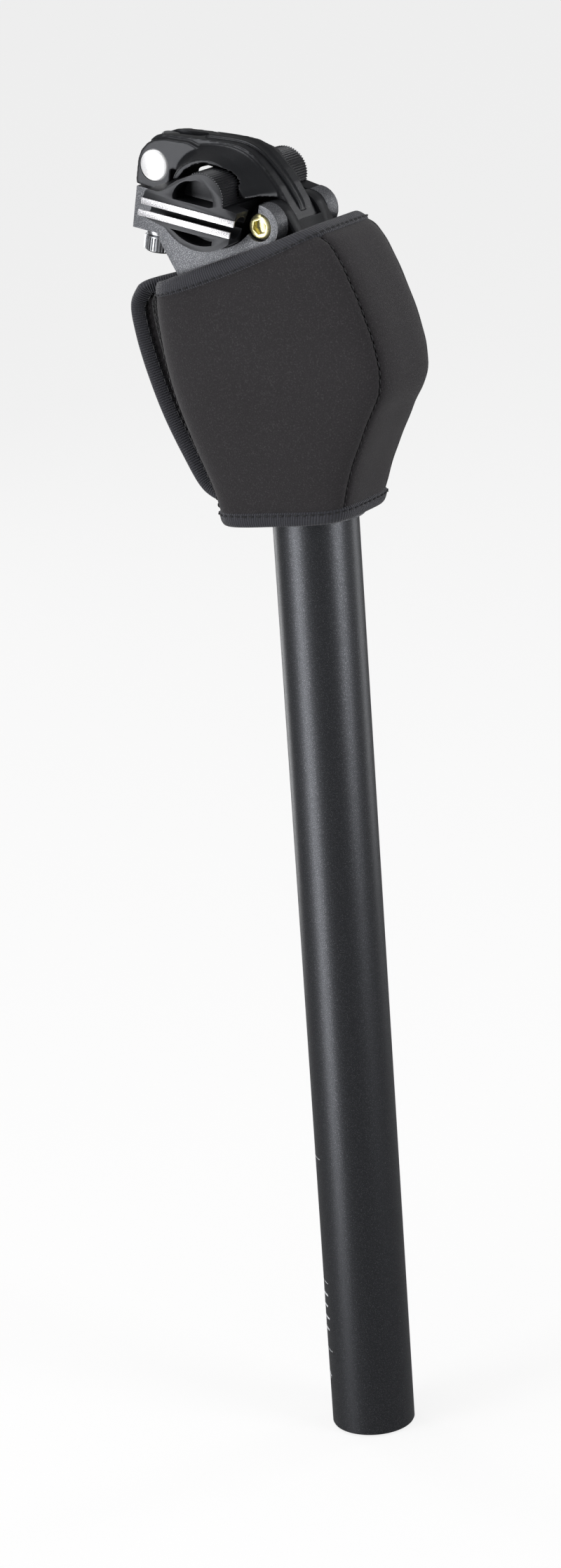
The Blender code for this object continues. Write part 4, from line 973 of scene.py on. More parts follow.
    def _band(self) -> bpy.types.Object:
        """The raised band along the spine, forked at its rear end like an arrow's tail."""
        top = [(-4.6, 20.0), (0.0, 20.45), (4.8, 20.4), (8.6, 19.5), (12.0, 17.7), (16.2, 14.5), (20.2, 10.9),
               (24.0, 6.7), (26.2, 3.9)]
        rows = []
        steps = 44
        for i in range(steps + 1):
            t = i / steps
            u, v = spline(top, t)
            nu, nv = spline(top, min(1, t + 0.02))
            du, dv = nu - u, nv - v
            if t == 1:
                pu, pv = spline(top, 0.98)
                du, dv = u - pu, v - pv
            size = math.hypot(du, dv)
            normal = (-dv / size, du / size)
            half = 3.1 - 1.5 * t
            fork = 4.2 * (1 - min(1.0, t * 7))
            rise = 0.75 * min(1.0, (1 - t) * 10)
            row = []
            for y, lift in ((-half - 0.35, -0.5), (-half, 0.55 * rise), (-half + 0.55, rise),
                            (-0.5 * half, 0.62 * rise),
                            (0.0, 0.5 * rise), (
                                0.5 * half,
                                0.62 * rise,
                            ), (half - 0.55, rise), (half, 0.55 * rise),
                            (half + 0.35, -0.5)):
                back = fork * (abs(y) / half)
                row.append(CLAMP.point(u - back + normal[0] * lift, v - 0.1 * back + normal[1] * lift, y))
            rows.append(row)
        return loft("spine_band", rows, closed=True)


def spline(path: Sequence[Pair], t: float) -> Pair:
    """A smooth point of a path through its given points (Catmull-Rom).

    Args:
        path: the points, at equal steps of t.
        t: from 0 at the first point to 1 at the last.

    Returns:
        The point, with as many numbers as the path's points have.
    """
    spans = len(path) - 1
    i = min(int(t * spans), spans - 1)
    f = t * spans - i
    a, b, c, d = (np.array(path[max(0, min(spans, k))], float) for k in (i - 1, i, i + 1, i + 2))
    found = 0.5 * (2 * b + (c - a) * f + (2 * a - 5 * b + 4 * c - d) * f * f + (3 * b - a - 3 * c
    + d) * f ** 3)
    return tuple(found)


def loft(name: str, rows: Sequence[Sequence[Vector]], closed: bool) -> bpy.types.Object:
    """A skin over rows of points, its two ends capped.

    Args:
        name: the object's name.
        rows: sections with the same number of points each.
        closed: whether each section is a loop.

    Returns:
        The skinned object.
    """
    count = len(rows[0])
    points = [p for row in rows for p in row]
    last = count if closed else count - 1
    faces = [(i * count + j, i * count + (j + 1) % count, (i + 1) * count + (j + 1) % count,
             (i + 1) * count + j)
             for i in range(len(rows) - 1) for j in range(last)]
    if closed:
        faces += [tuple(range(count)), tuple(range(len(rows) * count - 1, (len(rows) - 1) * count - 1, -1))]
    return new_object(name, points, faces)


@dataclass
class Cradles:
    """The two rail cradles with their end pockets, lips in a painted-highlight grey and toothed back, in
    millimetres.
    """

    centre: Pair = (4.3, 6.9)
    tooth_radius: float = 7.6
    lower_radius: float = 16.2
    half: float = 25.4
    lip_out: float = 26.0

    def build(self) -> None:
        """Makes both cradles, their lips and the teeth."""
        self._cradle("upper_cradle", self._upper(), self._upper_pocket(), 1)
        self._cradle("lower_cradle", self._lower(), self._lower_pocket(), -1)
        self._teeth()

    def _upper(self) -> list[Pair]:
        """Side outline of the upper cradle."""
        return [(16.2, 0.9), (16.8, 2.7), (17.3, 5.2), *arc(self.centre, self.tooth_radius, -8, 122,
                48), (-4.6, 10.6),
                (-7.4, 8.4), (-8.3, 7.0), (-9.6, 6.0), (-11.4, 5.7), (-14.6, 5.8), (-15.4, 4.9), (-16.0, 2.8),
                (-15.8, 0.9)]

    def _lower(self) -> list[Pair]:
        """Side outline of the lower cradle."""
        return [(-16.6, -0.9), (-16.4, -2.9), (-12.8, -3.5), *arc(self.centre, self.lower_radius, 226,
                314, 40),
                (15.6, -2.9), (15.8, -0.9)]

    def _upper_pocket(self) -> list[Pair]:
        """The half-round pocket in each end of the upper cradle."""
        return [(7.4, 4.7), *arc((2.0, 5.2), 6.9, 0, 92, 16), *arc((0.8, 4.9), 6.6, 96, 172, 12), (-5.5, 4.7)]

    def _lower_pocket(self) -> list[Pair]:
        """The shallow pocket in each end of the lower cradle."""
        return [(9.8, -4.5), (-5.6, -4.5), *arc(self.centre, self.lower_radius - 1.7, 237, 292, 16)]

    def _cradle(self, node: str, outline: list[Pair], pocket: list[Pair], way: int) -> None:
        """One cradle: its body, pockets, rail grooves and lips.

        Args:
            node: the CAD node's name.
            outline: side outline.
            pocket: outline of the end pockets.
            way: 1 for the upper cradle, -1 for the lower.
        """
        half = self.half / 1000
        body = prism(node + "_look", CLAMP.outline(outline), -half, half)
        for side in (-1, 1):
            low, high = sorted((side * 0.018, side * 0.03))
            combine(body, prism("pocket", CLAMP.outline(pocket), low, high), "DIFFERENCE")
            along = (CLAMP.point(1, 0) - CLAMP.point(0, 0)).normalized()
            combine(body, lathe("rail", [(0, 0.04), (0.0036, 0.04), (0.0036, -0.04), (0, -0.04)],
                                CLAMP.point(0, 0, side * 22), along, 48), "DIFFERENCE")
        deep = [(-30, -20), (-13.2, -20), (-13.2, 20 if way > 0 else 4.5), (-30, 20 if way > 0 else 4.5)]
        combine(body, prism("notch", CLAMP.outline(deep), -0.0095, 0.0095), "DIFFERENCE")
        nose = [(13.0, -20), (30, -20), (30, 20), (13.0, 20)]
        combine(body, prism("nose", CLAMP.outline(nose), -0.0185, 0.0185), "DIFFERENCE")
        crisp(body, 0.00018, 2)
        attach(body, DARK_FORGING, "saddle_clamp", [node])
        # The lips: thin bars whose light grey is a painted highlight for the light their rounded edges catch.
        for side in (-1, 1):
            ends = ((-16.0, 16.9) if way > 0 else (-16.8, 15.9))
            lip = [(ends[0], way * 0.9), (ends[1], way * 0.9), (ends[1] + 0.1 * way, way * 2.85),
                   (ends[0] - 0.1, way * 2.85)]
            low, high = sorted((side * (self.half - 0.1) / 1000, side * self.lip_out / 1000))
            bar = prism(f"{node}_lip_{'left' if side > 0 else 'right'}", CLAMP.outline(lip), low, high)
            attach(crisp(bar, 0.0001, 2), LIP_PAINTED_HIGHLIGHT, "saddle_clamp")

    def _teeth(self) -> None:
        """Fine teeth across the whole width of the upper cradle's back."""
        path = [CLAMP.point(u, v) for u, v in arc(self.centre, self.tooth_radius, -6, 118, 60)]
        hub = CLAMP.point(*self.centre)
        outward = [(p - hub).normalized() for p in path]
        shape = ridge_shape(0.00042, 0.00078, 2 * self.half / 1000)
        teeth = REPEAT.run("cradle_teeth", path, outward, 0.00082, shape, DARK_FORGING)
        teeth.data.shade_flat()
        attach(teeth, DARK_FORGING, "saddle_clamp")


@dataclass
class Bracket:
    """The blasted bracket: a wall each side with a pivot boss, joined below the cradle and round the bolt."""

    eye: Pair = (21.38, 0.64)

    def build(self) -> None:
        """Dresses the bracket's copy and adds the pivot screws' bright sockets."""
        body = copy_of("clamp_bracket")
        crisp(body, 0.0005, 3, 40.0)
        attach(body, GREY_FORGING, "bracket", ["clamp_bracket"])
        for side, name in ((1, "left"), (-1, "right")):
            self._screw(side, f"pivot_screw_{name}")

    def _screw(self, side: int, node: str) -> None:
        """A domed pivot screw with a hexagon socket.

        Args:
            side: 1 for the left wall, -1 for the right.
            node: the CAD node that it stands for.
        """
        face, across = 0.0179, Vector((0, side, 0))
        profile = [(0, face), (0.0026, face), (0.0034, face - 0.0002), (0.0038, face - 0.0007),
                   (0.0040, face - 0.0014), (0.0040, 0.0153), (0.0024, 0.0153), (0.0024, 0.0073), (0, 0.0073)]
        screw = lathe(node + "_look", profile, CLAMP.point(*self.eye), across, 64)
        corner = [CLAMP.point(*self.eye) + Vector((0.00235 * math.cos(a), 0, 0.00235 * math.sin(a)))
                  for a in np.radians(np.arange(15, 375, 60))]
        low, high = sorted((side * (face - 0.0024), side * 0.02))
        socket = prism("socket", [(p.x, p.z) for p in corner], low, high)
        combine(screw, socket, "DIFFERENCE")
        attach(crisp(screw, 0.00012, 2, 35.0), ZINC, "bracket", [node])


@dataclass
class Fasteners:
    """The barrel nut, the clamp bolt with its knurled head, and the washer under it."""

    nut_axis: Pair = (-23.0, 8.4)
    bolt_u: float = -23.0
    under_boss: float = -13.1

    def build(self) -> None:
        """Makes the three pieces."""
        self._nut()
        self._bolt()
        washer = crisp(copy_of("bolt_washer"), 0.0002)
        attach(washer, STEEL, "bolt_washer", ["bolt_washer"])

    def _nut(self) -> None:
        """The nut's round ends, turned with a faint ring."""
        half, r = 0.0089, 0.0050
        profile = [(0, half), (r - 0.0009, half), (r - 0.0007, half - 0.00008), (r - 0.0004, half), (r,
                   half - 0.0004),
                   (r, -half + 0.0004), (r - 0.0004, -half), (
                       r - 0.0007,
                       -half + 0.00008,
                   ), (r - 0.0009, -half),
                   (0, -half)]
        nut = lathe("barrel_nut_look", profile, CLAMP.point(*self.nut_axis), Vector((0, 1, 0)), 96)
        bore = lathe("bore", [(0, 0.02), (0.0031, 0.02), (0.0031, -0.02), (0, -0.02)],
                     CLAMP.point(*self.nut_axis), CLAMP.up, 40)
        combine(nut, bore, "DIFFERENCE")
        nut.data.set_sharp_from_angle(angle=math.radians(35))
        attach(nut, BRIGHT_NUT, "barrel_nut", ["barrel_nut"])

    def _bolt(self) -> None:
        """The bolt: threaded shank, knurled head and hexagon socket."""
        pivot = CLAMP.point(self.bolt_u, self.under_boss)
        head_top, head, r = -0.0019, 0.0048, 0.0030
        tip = (17.2 - self.under_boss) / 1000
        profile = [(0, tip), (r - 0.0005, tip), (r, tip - 0.0005)]
        pitch, thread_end = 0.0010, tip - 0.016
        z = tip - 0.0009
        while z > thread_end:
            profile += [(r, z), (r - 0.0004, z - pitch / 2)]
            z -= pitch
        profile += [(r, thread_end), (r, head_top), (head - 0.0003, head_top), (head, head_top - 0.0003),
                    (head, head_top - 0.0047), (head - 0.0005, head_top - 0.0052), (0, head_top - 0.0052)]
        bolt = lathe("clamp_bolt_look", profile, pivot, CLAMP.up, 48)
        side = Vector((0, 1, 0)).cross(CLAMP.up).normalized()
        corners = [0.0029 * (math.cos(a) * side + math.sin(a) * Vector((0, 1, 0)))
                   for a in np.radians(np.arange(0, 360, 60))]
        rows = [[pivot + CLAMP.up * h + c for c in corners] for h in (head_top - 0.007, head_top - 0.0025)]
        combine(bolt, loft("socket", rows, closed=True), "DIFFERENCE")
        bolt.data.shade_smooth()
        bolt.data.set_sharp_from_angle(angle=math.radians(35))
        attach(bolt, STEEL, "clamp_bolt", ["clamp_bolt"])
        ring = [pivot + CLAMP.up * (head_top - 0.0026) + head * (math.cos(a) * side
                + math.sin(a) * Vector((0, 1, 0)))
                for a in np.linspace(0, 2 * math.pi, 96, endpoint=False)]
        outward = [(p - pivot - CLAMP.up * (head_top - 0.0026)).normalized() for p in ring]
        knurl = REPEAT.run(
            "bolt_head_knurl",
            ring,
            outward,
            0.00088,
            ridge_shape(0.00032, 0.0006, 0.0040),
            STEEL,
            True,
        )
        knurl.data.shade_flat()
        attach(knurl, STEEL, "clamp_bolt")


# ---------------------------------------------------------------- linkage and inside
@dataclass(frozen=True)
class Inner:
    """One inside node that keeps its shape and gets softer edges and its finish."""

    node: str
    body: str
    finish: Finish
    bevel: float = 0.0002


@dataclass
class Mechanism:
    """Everything that the cover hides or half hides."""

    pieces: tuple[Inner, ...] = (
        Inner("post_head", "post", GREY_FORGING, 0.0004), Inner(
            "front_link",
            "front_link",
            DARK_FORGING,
            0.0005,
        ),
        Inner("rear_link", "rear_link", DARK_FORGING, 0.0004), Inner("plunger", "plunger", STEEL),
        Inner("plunger_guide", "post", POLYMER), Inner("spring_seat", "spring_seat", POLYMER),
        Inner("preload_plug", "preload_plug", STEEL), Inner("roller", "roller", POLYMER),
        Inner("roller_axle", "front_link", STEEL), Inner("topout_bumper", "plunger", ELASTOMER, 0.0006),
        Inner("front_upper_axle", "bracket", STEEL), Inner("rear_upper_axle", "bracket", STEEL),
        Inner("front_lower_axle", "post", STEEL), Inner("front_axle_cap", "post", STEEL),
        Inner("front_axle_screw", "post", STEEL), Inner("rear_lower_pin_left", "post", STEEL),
        Inner("rear_lower_pin_right", "post", STEEL),
    )

    def build(self) -> None:
        """Makes a soft-edged copy of each inside node and dresses the plain ones in place."""
        for inner in self.pieces:
            piece = crisp(copy_of(inner.node), inner.bevel, 2, 35.0)
            attach(piece, inner.finish, inner.body, [inner.node])
        self._spring()
        for node, thing in frame["nodes"].items():
            if node.endswith(("bush_left", "bush_right")):
                thing.data.materials.clear()
                thing.data.materials.append(BEARING.material())

    def _spring(self) -> None:
        """The main spring as a smooth round wire."""
        wire, coil, turns = 0.0015, 0.0088, 20
        low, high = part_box("main_spring")
        bottom, top = low.z + wire, high.z - wire
        closed = 1.08 * 2 * wire
        rise = (top - bottom - 2 * closed) / (turns - 2)
        rows, sides = [], 12
        for i in range(turns * 24 + 1):
            n = i / 24
            z = bottom + closed * min(n, 1) + rise * max(
                0,
                min(n - 1, turns - 2),
            ) + closed * max(0, n - turns + 1)
            a = 2 * math.pi * n
            out = Vector((math.cos(a), math.sin(a), 0))
            rows.append([Vector((0, 0, z)) + out * (coil + wire * math.cos(b)) + Vector((0, 0,
                         wire * math.sin(b)))
                         for b in np.linspace(0, 2 * math.pi, sides, endpoint=False)])
        attach(loft("main_spring_look", rows, closed=True), STEEL, "post", ["main_spring"])


# ---------------------------------------------------------------- neoprene cover
@dataclass
class Cover:
    """The neoprene cover: three panels, bound edges, seams and the closure strips.

    The side outline's points run from the hem up, in metres of X and Z.
    """

    front_line: list[Pair] = field(default_factory=lambda: [
        (
            0.0183,
            0.3130,
        ), (0.0228, 0.3270), (0.0305, 0.3430), (0.0362, 0.3545), (0.0350, 0.3685), (0.0282, 0.3870),
        (0.0216, 0.3985), (0.0146, 0.4022)])
    rear_line: list[Pair] = field(default_factory=lambda: [
        (-0.0268, 0.3090), (-0.0290, 0.3200), (-0.0345, 0.3330), (-0.0395, 0.3460), (-0.0425, 0.3570),
        (-0.0440, 0.3680), (-0.0445, 0.3760), (-0.0435, 0.3830)])
    flap_line: list[Pair] = field(default_factory=lambda: [
        (-0.0345, 0.3095), (-0.0430, 0.3140), (-0.0497, 0.3250), (-0.0560, 0.3380), (-0.0610, 0.3520),
        (-0.0640, 0.3640), (-0.0648, 0.3735), (-0.0610, 0.3800)])
    half_widths: tuple[float, ...] = (0.0195, 0.0215, 0.0228, 0.0235, 0.0236, 0.0236, 0.0233, 0.0230)
    power: float = 4.0
    seam_angle: float = 23.0
    near_rear: float = -152.0
    far_rear: float = 146.0
    thickness: float = 0.0026
    flap_y: float = 0.005

    def ring(self, t: float, angle: float, inset: float = 0.0) -> Vector:
        """A point on the cover's girth.

        Args:
            t: level, 0 at the hem and 1 at the top edge.
            angle: 0 at the front and 180 at the rear, in degrees.
            inset: how far inside the outer face.

        Returns:
            The point.
        """
        front, rear = np.array(spline(self.front_line, t)), np.array(spline(self.rear_line, t))
        middle, half = (front + rear) / 2, (front - rear) / 2
        size = float(np.linalg.norm(half))
        half = half * (1 - inset / size)
        c, s = math.cos(math.radians(angle)), math.sin(math.radians(angle))
        flat = middle + half * math.copysign(abs(c) ** (2 / self.power), c)
        wide = spline([(w,) for w in self.half_widths], t)[0] - inset
        return Vector((flat[0], wide * math.copysign(abs(s) ** (2 / self.power), s), flat[1]))

    def outward(self, t: float, angle: float) -> Vector:
        """The direction that faces out of the cover at a point of its girth."""
        step_a, step_t = 0.6, 0.01
        along = self.ring(t, angle + step_a) - self.ring(t, angle - step_a)
        up = self.ring(min(1, t + step_t), angle) - self.ring(max(0, t - step_t), angle)
        return along.cross(up).normalized()

    def flap(self, t: float, share: float) -> Vector:
        """A point between the far panel's rear end, at share 0, and the flap's bound edge, at 1."""
        start = self.ring(t, self.far_rear)
        x, z = spline(self.flap_line, t)
        spot = start.lerp(Vector((x, self.flap_y, z)), share)
        spot.y += 0.0016 * math.sin(math.pi * share)
        return spot

    def flap_outward(self, t: float, share: float) -> Vector:
        """The direction that faces away from the bicycle's middle on the flap."""
        rise = self.flap(min(1, t + 0.02), share) - self.flap(max(0, t - 0.02), share)
        run = self.flap(t, share + 0.03) - self.flap(t, share - 0.03)
        normal = rise.cross(run).normalized()
        return normal if normal.y > 0 else -normal

    def build(self) -> None:
        """Makes the panels, bindings, seams and strips."""
        self._panels()
        self._bindings()
        self._seams()
        self._strips()

    # panels
    def _skin(self, angle: float, t: float, seam: float) -> Vector:
        """A panel's outer face, drawn in where the seam pulls it."""
        depth = 0.0007 * math.exp(-((angle - seam) / 2.2) ** 2)
        depth += 0.0005 * math.exp(-((1 - t) / 0.05) ** 2) + 0.0004 * math.exp(-(t / 0.04) ** 2)
        ripple = 0.00012 * math.sin(70 * t + 0.2 * angle) * math.exp(-abs(angle - seam) / 5)
        return self.ring(t, angle) - self.outward(t, angle) * (depth + ripple)

    def _sheet(self, name: str, rows: list[list[Vector]], nodes: Sequence[str], thickness: float,
               finish: Finish) -> bpy.types.Object:
        """A closed sheet from a grid of points on its outer face.

        Args:
            name: the piece's name.
            rows: the grid.
            nodes: the nodes it stands for.
            thickness: how thick it is, inwards.
            finish: its finish.

        Returns:
            The finished piece.
        """
        count = len(rows[0])
        points = [p for row in rows for p in row]
        faces = [(i * count + j, i * count + j + 1, (i + 1) * count + j + 1, (i + 1) * count + j)
                 for i in range(len(rows) - 1) for j in range(count - 1)]
        mesh = bpy.data.meshes.new(name)
        mesh.from_pydata([tuple(p) for p in points], [], faces)
        grid = np.array([tuple(p) for p in points]).reshape(len(rows), count, 3)
        length = max(
            float(np.linalg.norm(np.diff(column, axis=0), axis=1).sum())
            for column in grid.transpose(1, 0, 2)
        )
        made = bpy.data.objects.new(name, mesh)
        bpy.context.scene.collection.objects.link(made)
        wall = made.modifiers.new("wall", "SOLIDIFY")
        wall.thickness, wall.offset, wall.use_even_offset = thickness, -1, True
        rim = made.modifiers.new("rim", "BEVEL")
        rim.width, rim.segments = thickness * 0.28, 2
        rim.limit_method, rim.angle_limit = "ANGLE", math.radians(50)
        settle(made)
        made.data.shade_smooth()
        made.data.materials.append(finish.material())
        if nodes:
            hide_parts(*nodes)
        self._bend(made)
        return made

    def _bend(self, thing: bpy.types.Object) -> None:
        """Bakes a piece's transform into its mesh."""
        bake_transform(thing)

    def _panels(self) -> None:
        """The two side panels and the front one."""
        seam, gap = self.seam_angle, 0.35
        heights = np.linspace(0.03, 0.965, 64)
        near = [
            [self._skin(a, t, -seam)
            for a in self._angles(-seam - gap, self.near_rear, 54)] for t in heights[::-1]
        ]
        self._sheet("cover_near_panel_look", near, ["cover_near_panel"], self.thickness, NEOPRENE)
        front = [[self._skin(a, t, math.copysign(seam, a)) for a in self._angles(seam - gap, -seam + gap, 34)]
                 for t in heights[::-1]]
        self._sheet("cover_front_panel_look", front, ["cover_front_panel"], self.thickness, NEOPRENE)
        shares = np.linspace(0.97, 0.06, 16)
        far = [[self.flap(t, s) for s in shares] + [self._skin(a, t, seam)
                                                    for a in self._angles(self.far_rear, seam + gap, 54)]
               for t in heights[::-1]]
        self._sheet("cover_far_panel_look", far, ["cover_far_panel"], self.thickness, NEOPRENE)

    def _angles(self, start: float, end: float, steps: int) -> np.ndarray:
        """Angles that are closer together where the girth turns its corners."""
        dense = np.linspace(start, end, 1200)
        spots = np.array([tuple(self.ring(0.5, a)) for a in dense])
        run = np.concatenate([[0], np.cumsum(np.linalg.norm(np.diff(spots, axis=0), axis=1))])
        return np.interp(np.linspace(0, run[-1], steps + 1), run, dense)

    # bindings
    def _tape(self, name: str, path: list[Vector], outward: list[Vector], beyond: list[Vector], closed: bool,
              tall: float, thick: float, over: float) -> bpy.types.Object:
        """A tape folded over an edge.

        Args:
            name: the piece's name.
            path: points on the edge, in the middle of the wall.
            outward: the outer face's direction at each.
            beyond: the direction past the edge at each.
            closed: whether the edge is a loop.
            tall: how far the tape reaches back over the wall.
            thick: half its thickness.
            over: how far it stands past the edge.

        Returns:
            The tape, with a UV map in metres along and across it.
        """
        section = [(-0.92 * thick, -tall), (-thick, -0.6 * tall), (-1.02 * thick, -0.2 * tall),
                   (-0.8 * thick, 0.55 * over), (
                       -0.35 * thick,
                       0.92 * over,
                   ), (0.0, over), (0.35 * thick, 0.92 * over),
                   (0.8 * thick, 0.55 * over), (1.02 * thick, -0.2 * tall), (thick, -0.6 * tall),
                   (0.92 * thick, -tall), (0.3 * thick, -tall - 0.0001), (-0.3 * thick, -tall - 0.0001)]
        rows = [[p + o * x + b * y for x, y in section] for p, o, b in zip(path, outward, beyond)]
        count, size = len(section), len(rows)
        mesh = bpy.data.meshes.new(name)
        faces = [(i * count + j, i * count + (j + 1) % count, ((i + 1) % size) * count + (j + 1) % count,
                  ((i + 1) % size) * count
                  + j) for i in range(size if closed else size - 1) for j in range(count)]
        if not closed:
            faces += [tuple(range(count)), tuple(range(size * count - 1, (size - 1) * count - 1, -1))]
        mesh.from_pydata([tuple(p) for row in rows for p in row], [], faces)
        run = np.concatenate([[0], np.cumsum([(b - a).length for a, b in zip(path, path[1:])])])
        around = np.concatenate([[0], np.cumsum([math.dist(a, b) for a, b in zip(section, section[1:])])])
        uv = mesh.uv_layers.new(name="tape")
        for face in mesh.polygons:
            corners = [(mesh.loops[k].vertex_index // count, mesh.loops[k].vertex_index % count)
                       for k in face.loop_indices]
            wraps_u = max(c[0] for c in corners) - min(c[0] for c in corners) > 2
            wraps_v = max(c[1] for c in corners) - min(c[1] for c in corners) > 2
            for k, (i, j) in zip(face.loop_indices, corners):
                u = run[i] if not (wraps_u and i == 0) else run[-1] + (path[0] - path[-1]).length
                v = around[j] if not (wraps_v and j == 0) else around[-1] + 0.001
                uv.data[k].uv = (u, v)
        made = bpy.data.objects.new(name, mesh)
        bpy.context.scene.collection.objects.link(made)
        work = bmesh.new()
        work.from_mesh(mesh)
        bmesh.ops.recalc_face_normals(work, faces=work.faces)
        work.to_mesh(mesh)
        work.free()
        round_off = made.modifiers.new("round", "SUBSURF")
        round_off.levels = round_off.render_levels = 1
        settle(made)
        made.data.shade_smooth()
        made.data.materials.append(TAPE.material())
        LOG.info("%s: %.0f mm of tape", name, 1000 * run[-1])
        return made

    def _edge(self, t: float, back: float, angles: np.ndarray) -> tuple[list, list, list]:
        """The middle of the wall along a level, with its two directions.

        Args:
            t: the level of the edge.
            back: a level a little way into the panel.
            angles: where round the girth.

        Returns:
            Points, outward directions and directions past the edge.
        """
        path = [self.ring(t, a, self.thickness / 2) for a in angles]
        outward = [self.outward(t, a) for a in angles]
        beyond = []
        for a, o in zip(angles, outward):
            raw = self.ring(t, a) - self.ring(back, a)
            beyond.append((raw - o * raw.dot(o)).normalized())
        return path, outward, beyond

    def _bindings(self) -> None:
        """Tape over the top edge, the flap's edge and the hem, each with its row of stitches."""
        top_angles = self._angles(self.near_rear, self.far_rear - 1, 130)
        path, outward, beyond = self._edge(1.0, 0.94, top_angles)
        tape = self._tape("cover_top_tape", path, outward, beyond, False, 0.0046, 0.0020, 0.0008)
        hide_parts("cover_top_binding")
        self._bend(tape)
        for side, face in ((1, "outer"), (-1, "inner")):
            self._row(f"top_stitches_{face}", [p + o * side * 0.00198 - b * 0.0038
                                               for p, o, b in zip(path, outward, beyond)],
                      [o * side for o in outward], bends=True)
        hem_angles = np.array(list(self._angles(0, 360, 140))[:-1])
        path, outward, beyond = self._edge(0.0, 0.06, hem_angles)
        hem = self._tape("cover_hem_tape", path, outward, beyond, True, 0.0040, 0.0021, 0.0010)
        hem.data.update()
        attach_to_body(hem, "post")
        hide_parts("cover_hem_binding")
        self._row("hem_stitches", [p + o * 0.00208 - b * 0.0033 for p, o, b in zip(path, outward, beyond)],
                  outward, bends=False, closed=True)
        self._flap_tape()

    def _flap_tape(self) -> None:
        """Tape round the flap's top corner, down its rear edge to the hem."""
        spots = [(1.0, s) for s in np.linspace(0.02, 0.90, 16)] + [
            (t, 1.0)
            for t in np.linspace(0.985, 0.03, 90)
        ]
        path, outward, beyond = [], [], []
        for t, s in spots:
            out = self.flap_outward(t, min(0.95, max(0.05, s)))
            path.append(self.flap(t, s) - out * self.thickness / 2)
            outward.append(out)
        for i, out in enumerate(outward):
            along = path[min(i + 1, len(path) - 1)] - path[max(i - 1, 0)]
            side = out.cross(along).normalized()
            inside = self.flap(0.5, 0.2) - path[i]
            beyond.append(side if side.dot(inside) < 0 else -side)
        path = relax(path, 3)
        tape = self._tape("cover_flap_tape", path, outward, beyond, False, 0.0042, 0.0019, 0.0009)
        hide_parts("cover_flap_binding")
        self._bend(tape)
        for side, face in ((1, "outer"), (-1, "inner")):
            self._row(f"flap_stitches_{face}", [p + o * side * 0.00188 - b * 0.0035
                                                for p, o, b in zip(path, outward, beyond)],
                      [o * side for o in outward], bends=True)

    # seams and stitches
    def _row(self, name: str, path: list[Vector], outward: list[Vector], bends: bool, closed: bool = False,
             pitch: float = 0.0027, length: float = 0.0019) -> None:
        """One row of stitches along a path."""
        row = REPEAT.run(
            name,
            path,
            outward,
            pitch,
            stitch_shape(length, 0.00055, 0.00022),
            THREAD,
            closed,
            0.08,
        )
        if bends:
            self._bend(row)
        else:
            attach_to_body(row, "post")
        LOG.info("%s: %d faces", name, len(row.data.polygons))

    def _seams(self) -> None:
        """Stitches across the two front seams and down the near panel's rear edge."""
        heights = np.linspace(0.05, 0.93, 80)
        for side, name in ((-1, "near"), (1, "far")):
            angle = side * (self.seam_angle + 0.9)
            path = [
                self._skin(angle, t, side * self.seam_angle) + self.outward(t, angle) * 0.0001
                for t in heights
            ]
            self._row(f"{name}_seam_stitches", path, [self.outward(t, angle) for t in heights], bends=True)
        angle = self.near_rear + 2.2
        path = [self._skin(angle, t, 0) + self.outward(t, angle) * 0.0001 for t in heights]
        self._row("rear_edge_stitches", path, [self.outward(t, angle) for t in heights], bends=True,
                  pitch=0.0024,
                  length=0.0016)

    def _strips(self) -> None:
        """Hook and loop strips inside the flap and inside the near panel's rear edge."""
        heights = np.linspace(0.10, 0.90, 40)
        gap = self.thickness + 0.0003
        hook = [[self.flap(t, s) - self.flap_outward(t, s) * gap for s in np.linspace(0.80, 0.40, 8)]
                for t in heights[::-1]]
        self._sheet("closure_hook_look", hook, ["closure_hook_strip"], 0.0010, LOOP_PILE)
        loop = [[self.ring(t, a, gap) for a in self._angles(-149, -116, 10)] for t in heights[::-1]]
        self._sheet("closure_loop_look", loop, ["closure_loop_strip"], 0.0010, LOOP_PILE)


def relax(path: list[Vector], rounds: int) -> list[Vector]:
    """Softens the corners of an open path and keeps its ends."""
    for _ in range(rounds):
        path = [path[0]] + [(a + 2 * b + c) / 4 for a, b, c in zip(path, path[1:], path[2:])] + [path[-1]]
    return path


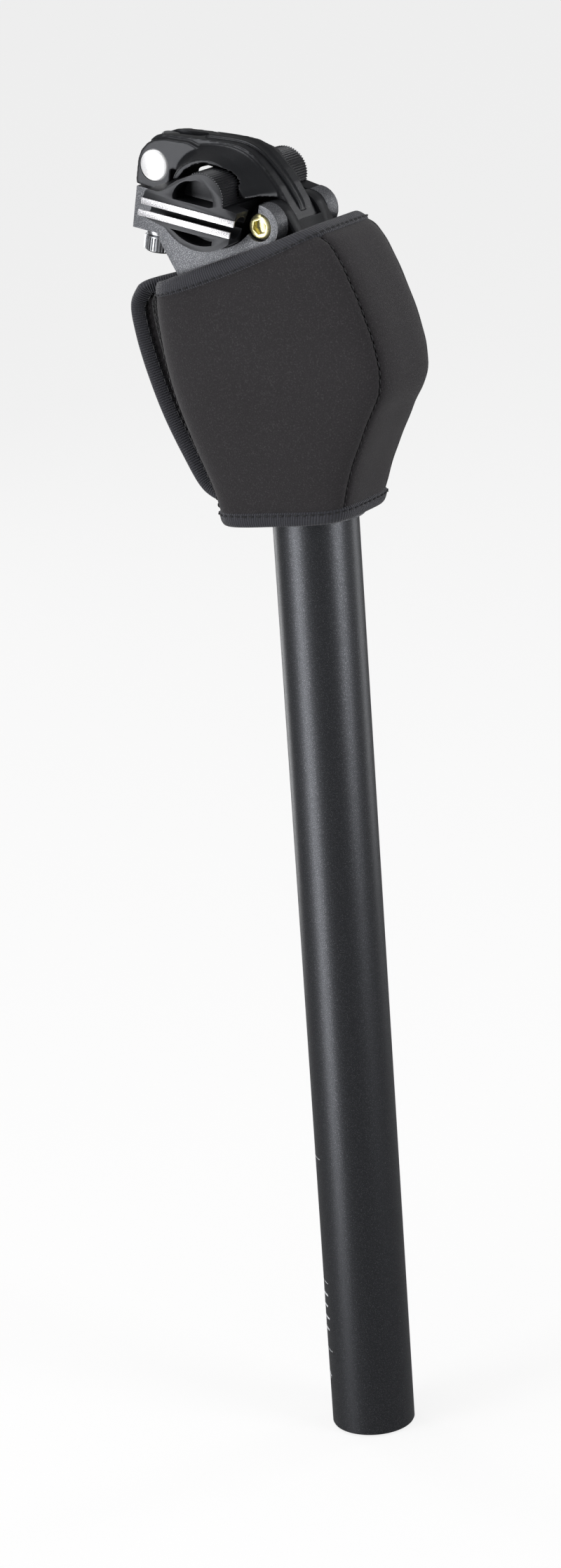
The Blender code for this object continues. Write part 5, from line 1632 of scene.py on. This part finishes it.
# ---------------------------------------------------------------- studio
@dataclass
class Studio:
    """A pale floor, soft lights and the camera."""

    eye: tuple[float, float, float] = (0.64705, -1.08362, 0.61281)
    right: tuple[float, float, float] = (0.86033, 0.50552, -0.06541)
    up: tuple[float, float, float] = (-0.09601, 0.28673, 0.95319)
    back: tuple[float, float, float] = (0.50061, -0.81378, 0.29521)
    lens: float = 95.46

    def build(self) -> None:
        """Makes the floor, the lights, the world and the camera."""
        self._floor()
        self._lights()
        self._world()
        data = bpy.data.cameras.new("camera")
        data.lens, data.sensor_width, data.sensor_fit = self.lens, 36.0, "AUTO"
        data.clip_start, data.clip_end = 0.05, 100.0
        camera = bpy.data.objects.new("camera", data)
        turn = Matrix((self.right, self.up, self.back)).transposed()
        camera.matrix_world = Matrix.Translation(self.eye) @ turn.to_4x4()
        bpy.context.scene.collection.objects.link(camera)
        bpy.context.scene.camera = camera

    def _floor(self) -> None:
        """A wide pale floor that turns up into a wall all round, seen by the camera and lighting nothing."""
        profile = [(0, 12.0), (11.0, 12.0), (11.0, 2.6), (10.7, 1.4), (10.0, 0.6), (9.0, 0.1), (8.0, -0.0005),
                   (0, -0.0005)]
        floor = lathe("floor", profile, Vector(), Vector((0, 0, 1)), 64)
        paint = bpy.data.materials.new("Pale floor")
        paint.use_nodes = True
        shader = paint.node_tree.nodes["Principled BSDF"]
        shader.inputs["Base Color"].default_value = (0.2, 0.2, 0.2, 1)
        shader.inputs["Roughness"].default_value = 1.0
        shader.inputs["Specular IOR Level"].default_value = 0.0
        shader.inputs["Emission Color"].default_value = (1, 1, 1, 1)
        shader.inputs["Emission Strength"].default_value = 0.82
        floor.data.materials.append(paint)
        floor.visible_diffuse = floor.visible_glossy = False
        floor.visible_shadow = floor.visible_transmission = False

    def _lights(self) -> None:
        """Tall soft boxes either side of the camera, weaker ones behind, and one above."""
        for name, azimuth, distance, heights, wide, radiance in (
            ("left box", -120.0, 1.25, (-0.85, 1.0), 0.55, 5.6),
            ("right box", -3.0, 1.25, (-0.30, 1.1), 0.50, 5.2),
            ("rear left box", 155.0, 1.5, (-0.4, 1.1), 0.45, 2.6),
            ("rear right box", 62.0, 1.5, (-0.4, 1.1), 0.45, 2.6),
        ):
            tall = heights[1] - heights[0]
            data = bpy.data.lights.new(name, "AREA")
            data.shape, data.size, data.size_y = "RECTANGLE", wide, tall
            data.energy = radiance * math.pi * wide * tall
            light = bpy.data.objects.new(name, data)
            a = math.radians(azimuth)
            light.location = (distance * math.cos(a), distance * math.sin(a), sum(heights) / 2)
            light.rotation_euler = (math.pi / 2, 0, a + math.pi / 2)
            bpy.context.scene.collection.objects.link(light)
        data = bpy.data.lights.new("top box", "AREA")
        data.shape, data.size, data.size_y, data.energy = "RECTANGLE", 0.9, 0.9, 9.0
        light = bpy.data.objects.new("top box", data)
        light.location = (-0.15, -0.25, 1.6)
        light.rotation_euler = (Vector(light.location) - Vector((0, 0, 0.38))).to_track_quat("Z",
        "Y").to_euler()
        bpy.context.scene.collection.objects.link(light)

    def _world(self) -> None:
        """A dim even surround, and plain colours with no film curve."""
        world = bpy.data.worlds.new("surround")
        world.use_nodes = True
        world.node_tree.nodes["Background"].inputs["Color"].default_value = (1, 1, 1, 1)
        world.node_tree.nodes["Background"].inputs["Strength"].default_value = 0.16
        bpy.context.scene.world = world
        bpy.context.scene.view_settings.view_transform = "Standard"


def main() -> None:
    """Builds every sub-assembly in order."""
    logging.basicConfig(level=logging.INFO, format="%(name)s %(message)s")
    for part in (Studio(), Tube(), TopClamp(), Cradles(), Bracket(), Fasteners(), Mechanism(), Cover()):
        part.build()
        LOG.info("built %s", type(part).__name__)


if __name__ == "__main__":
    main()
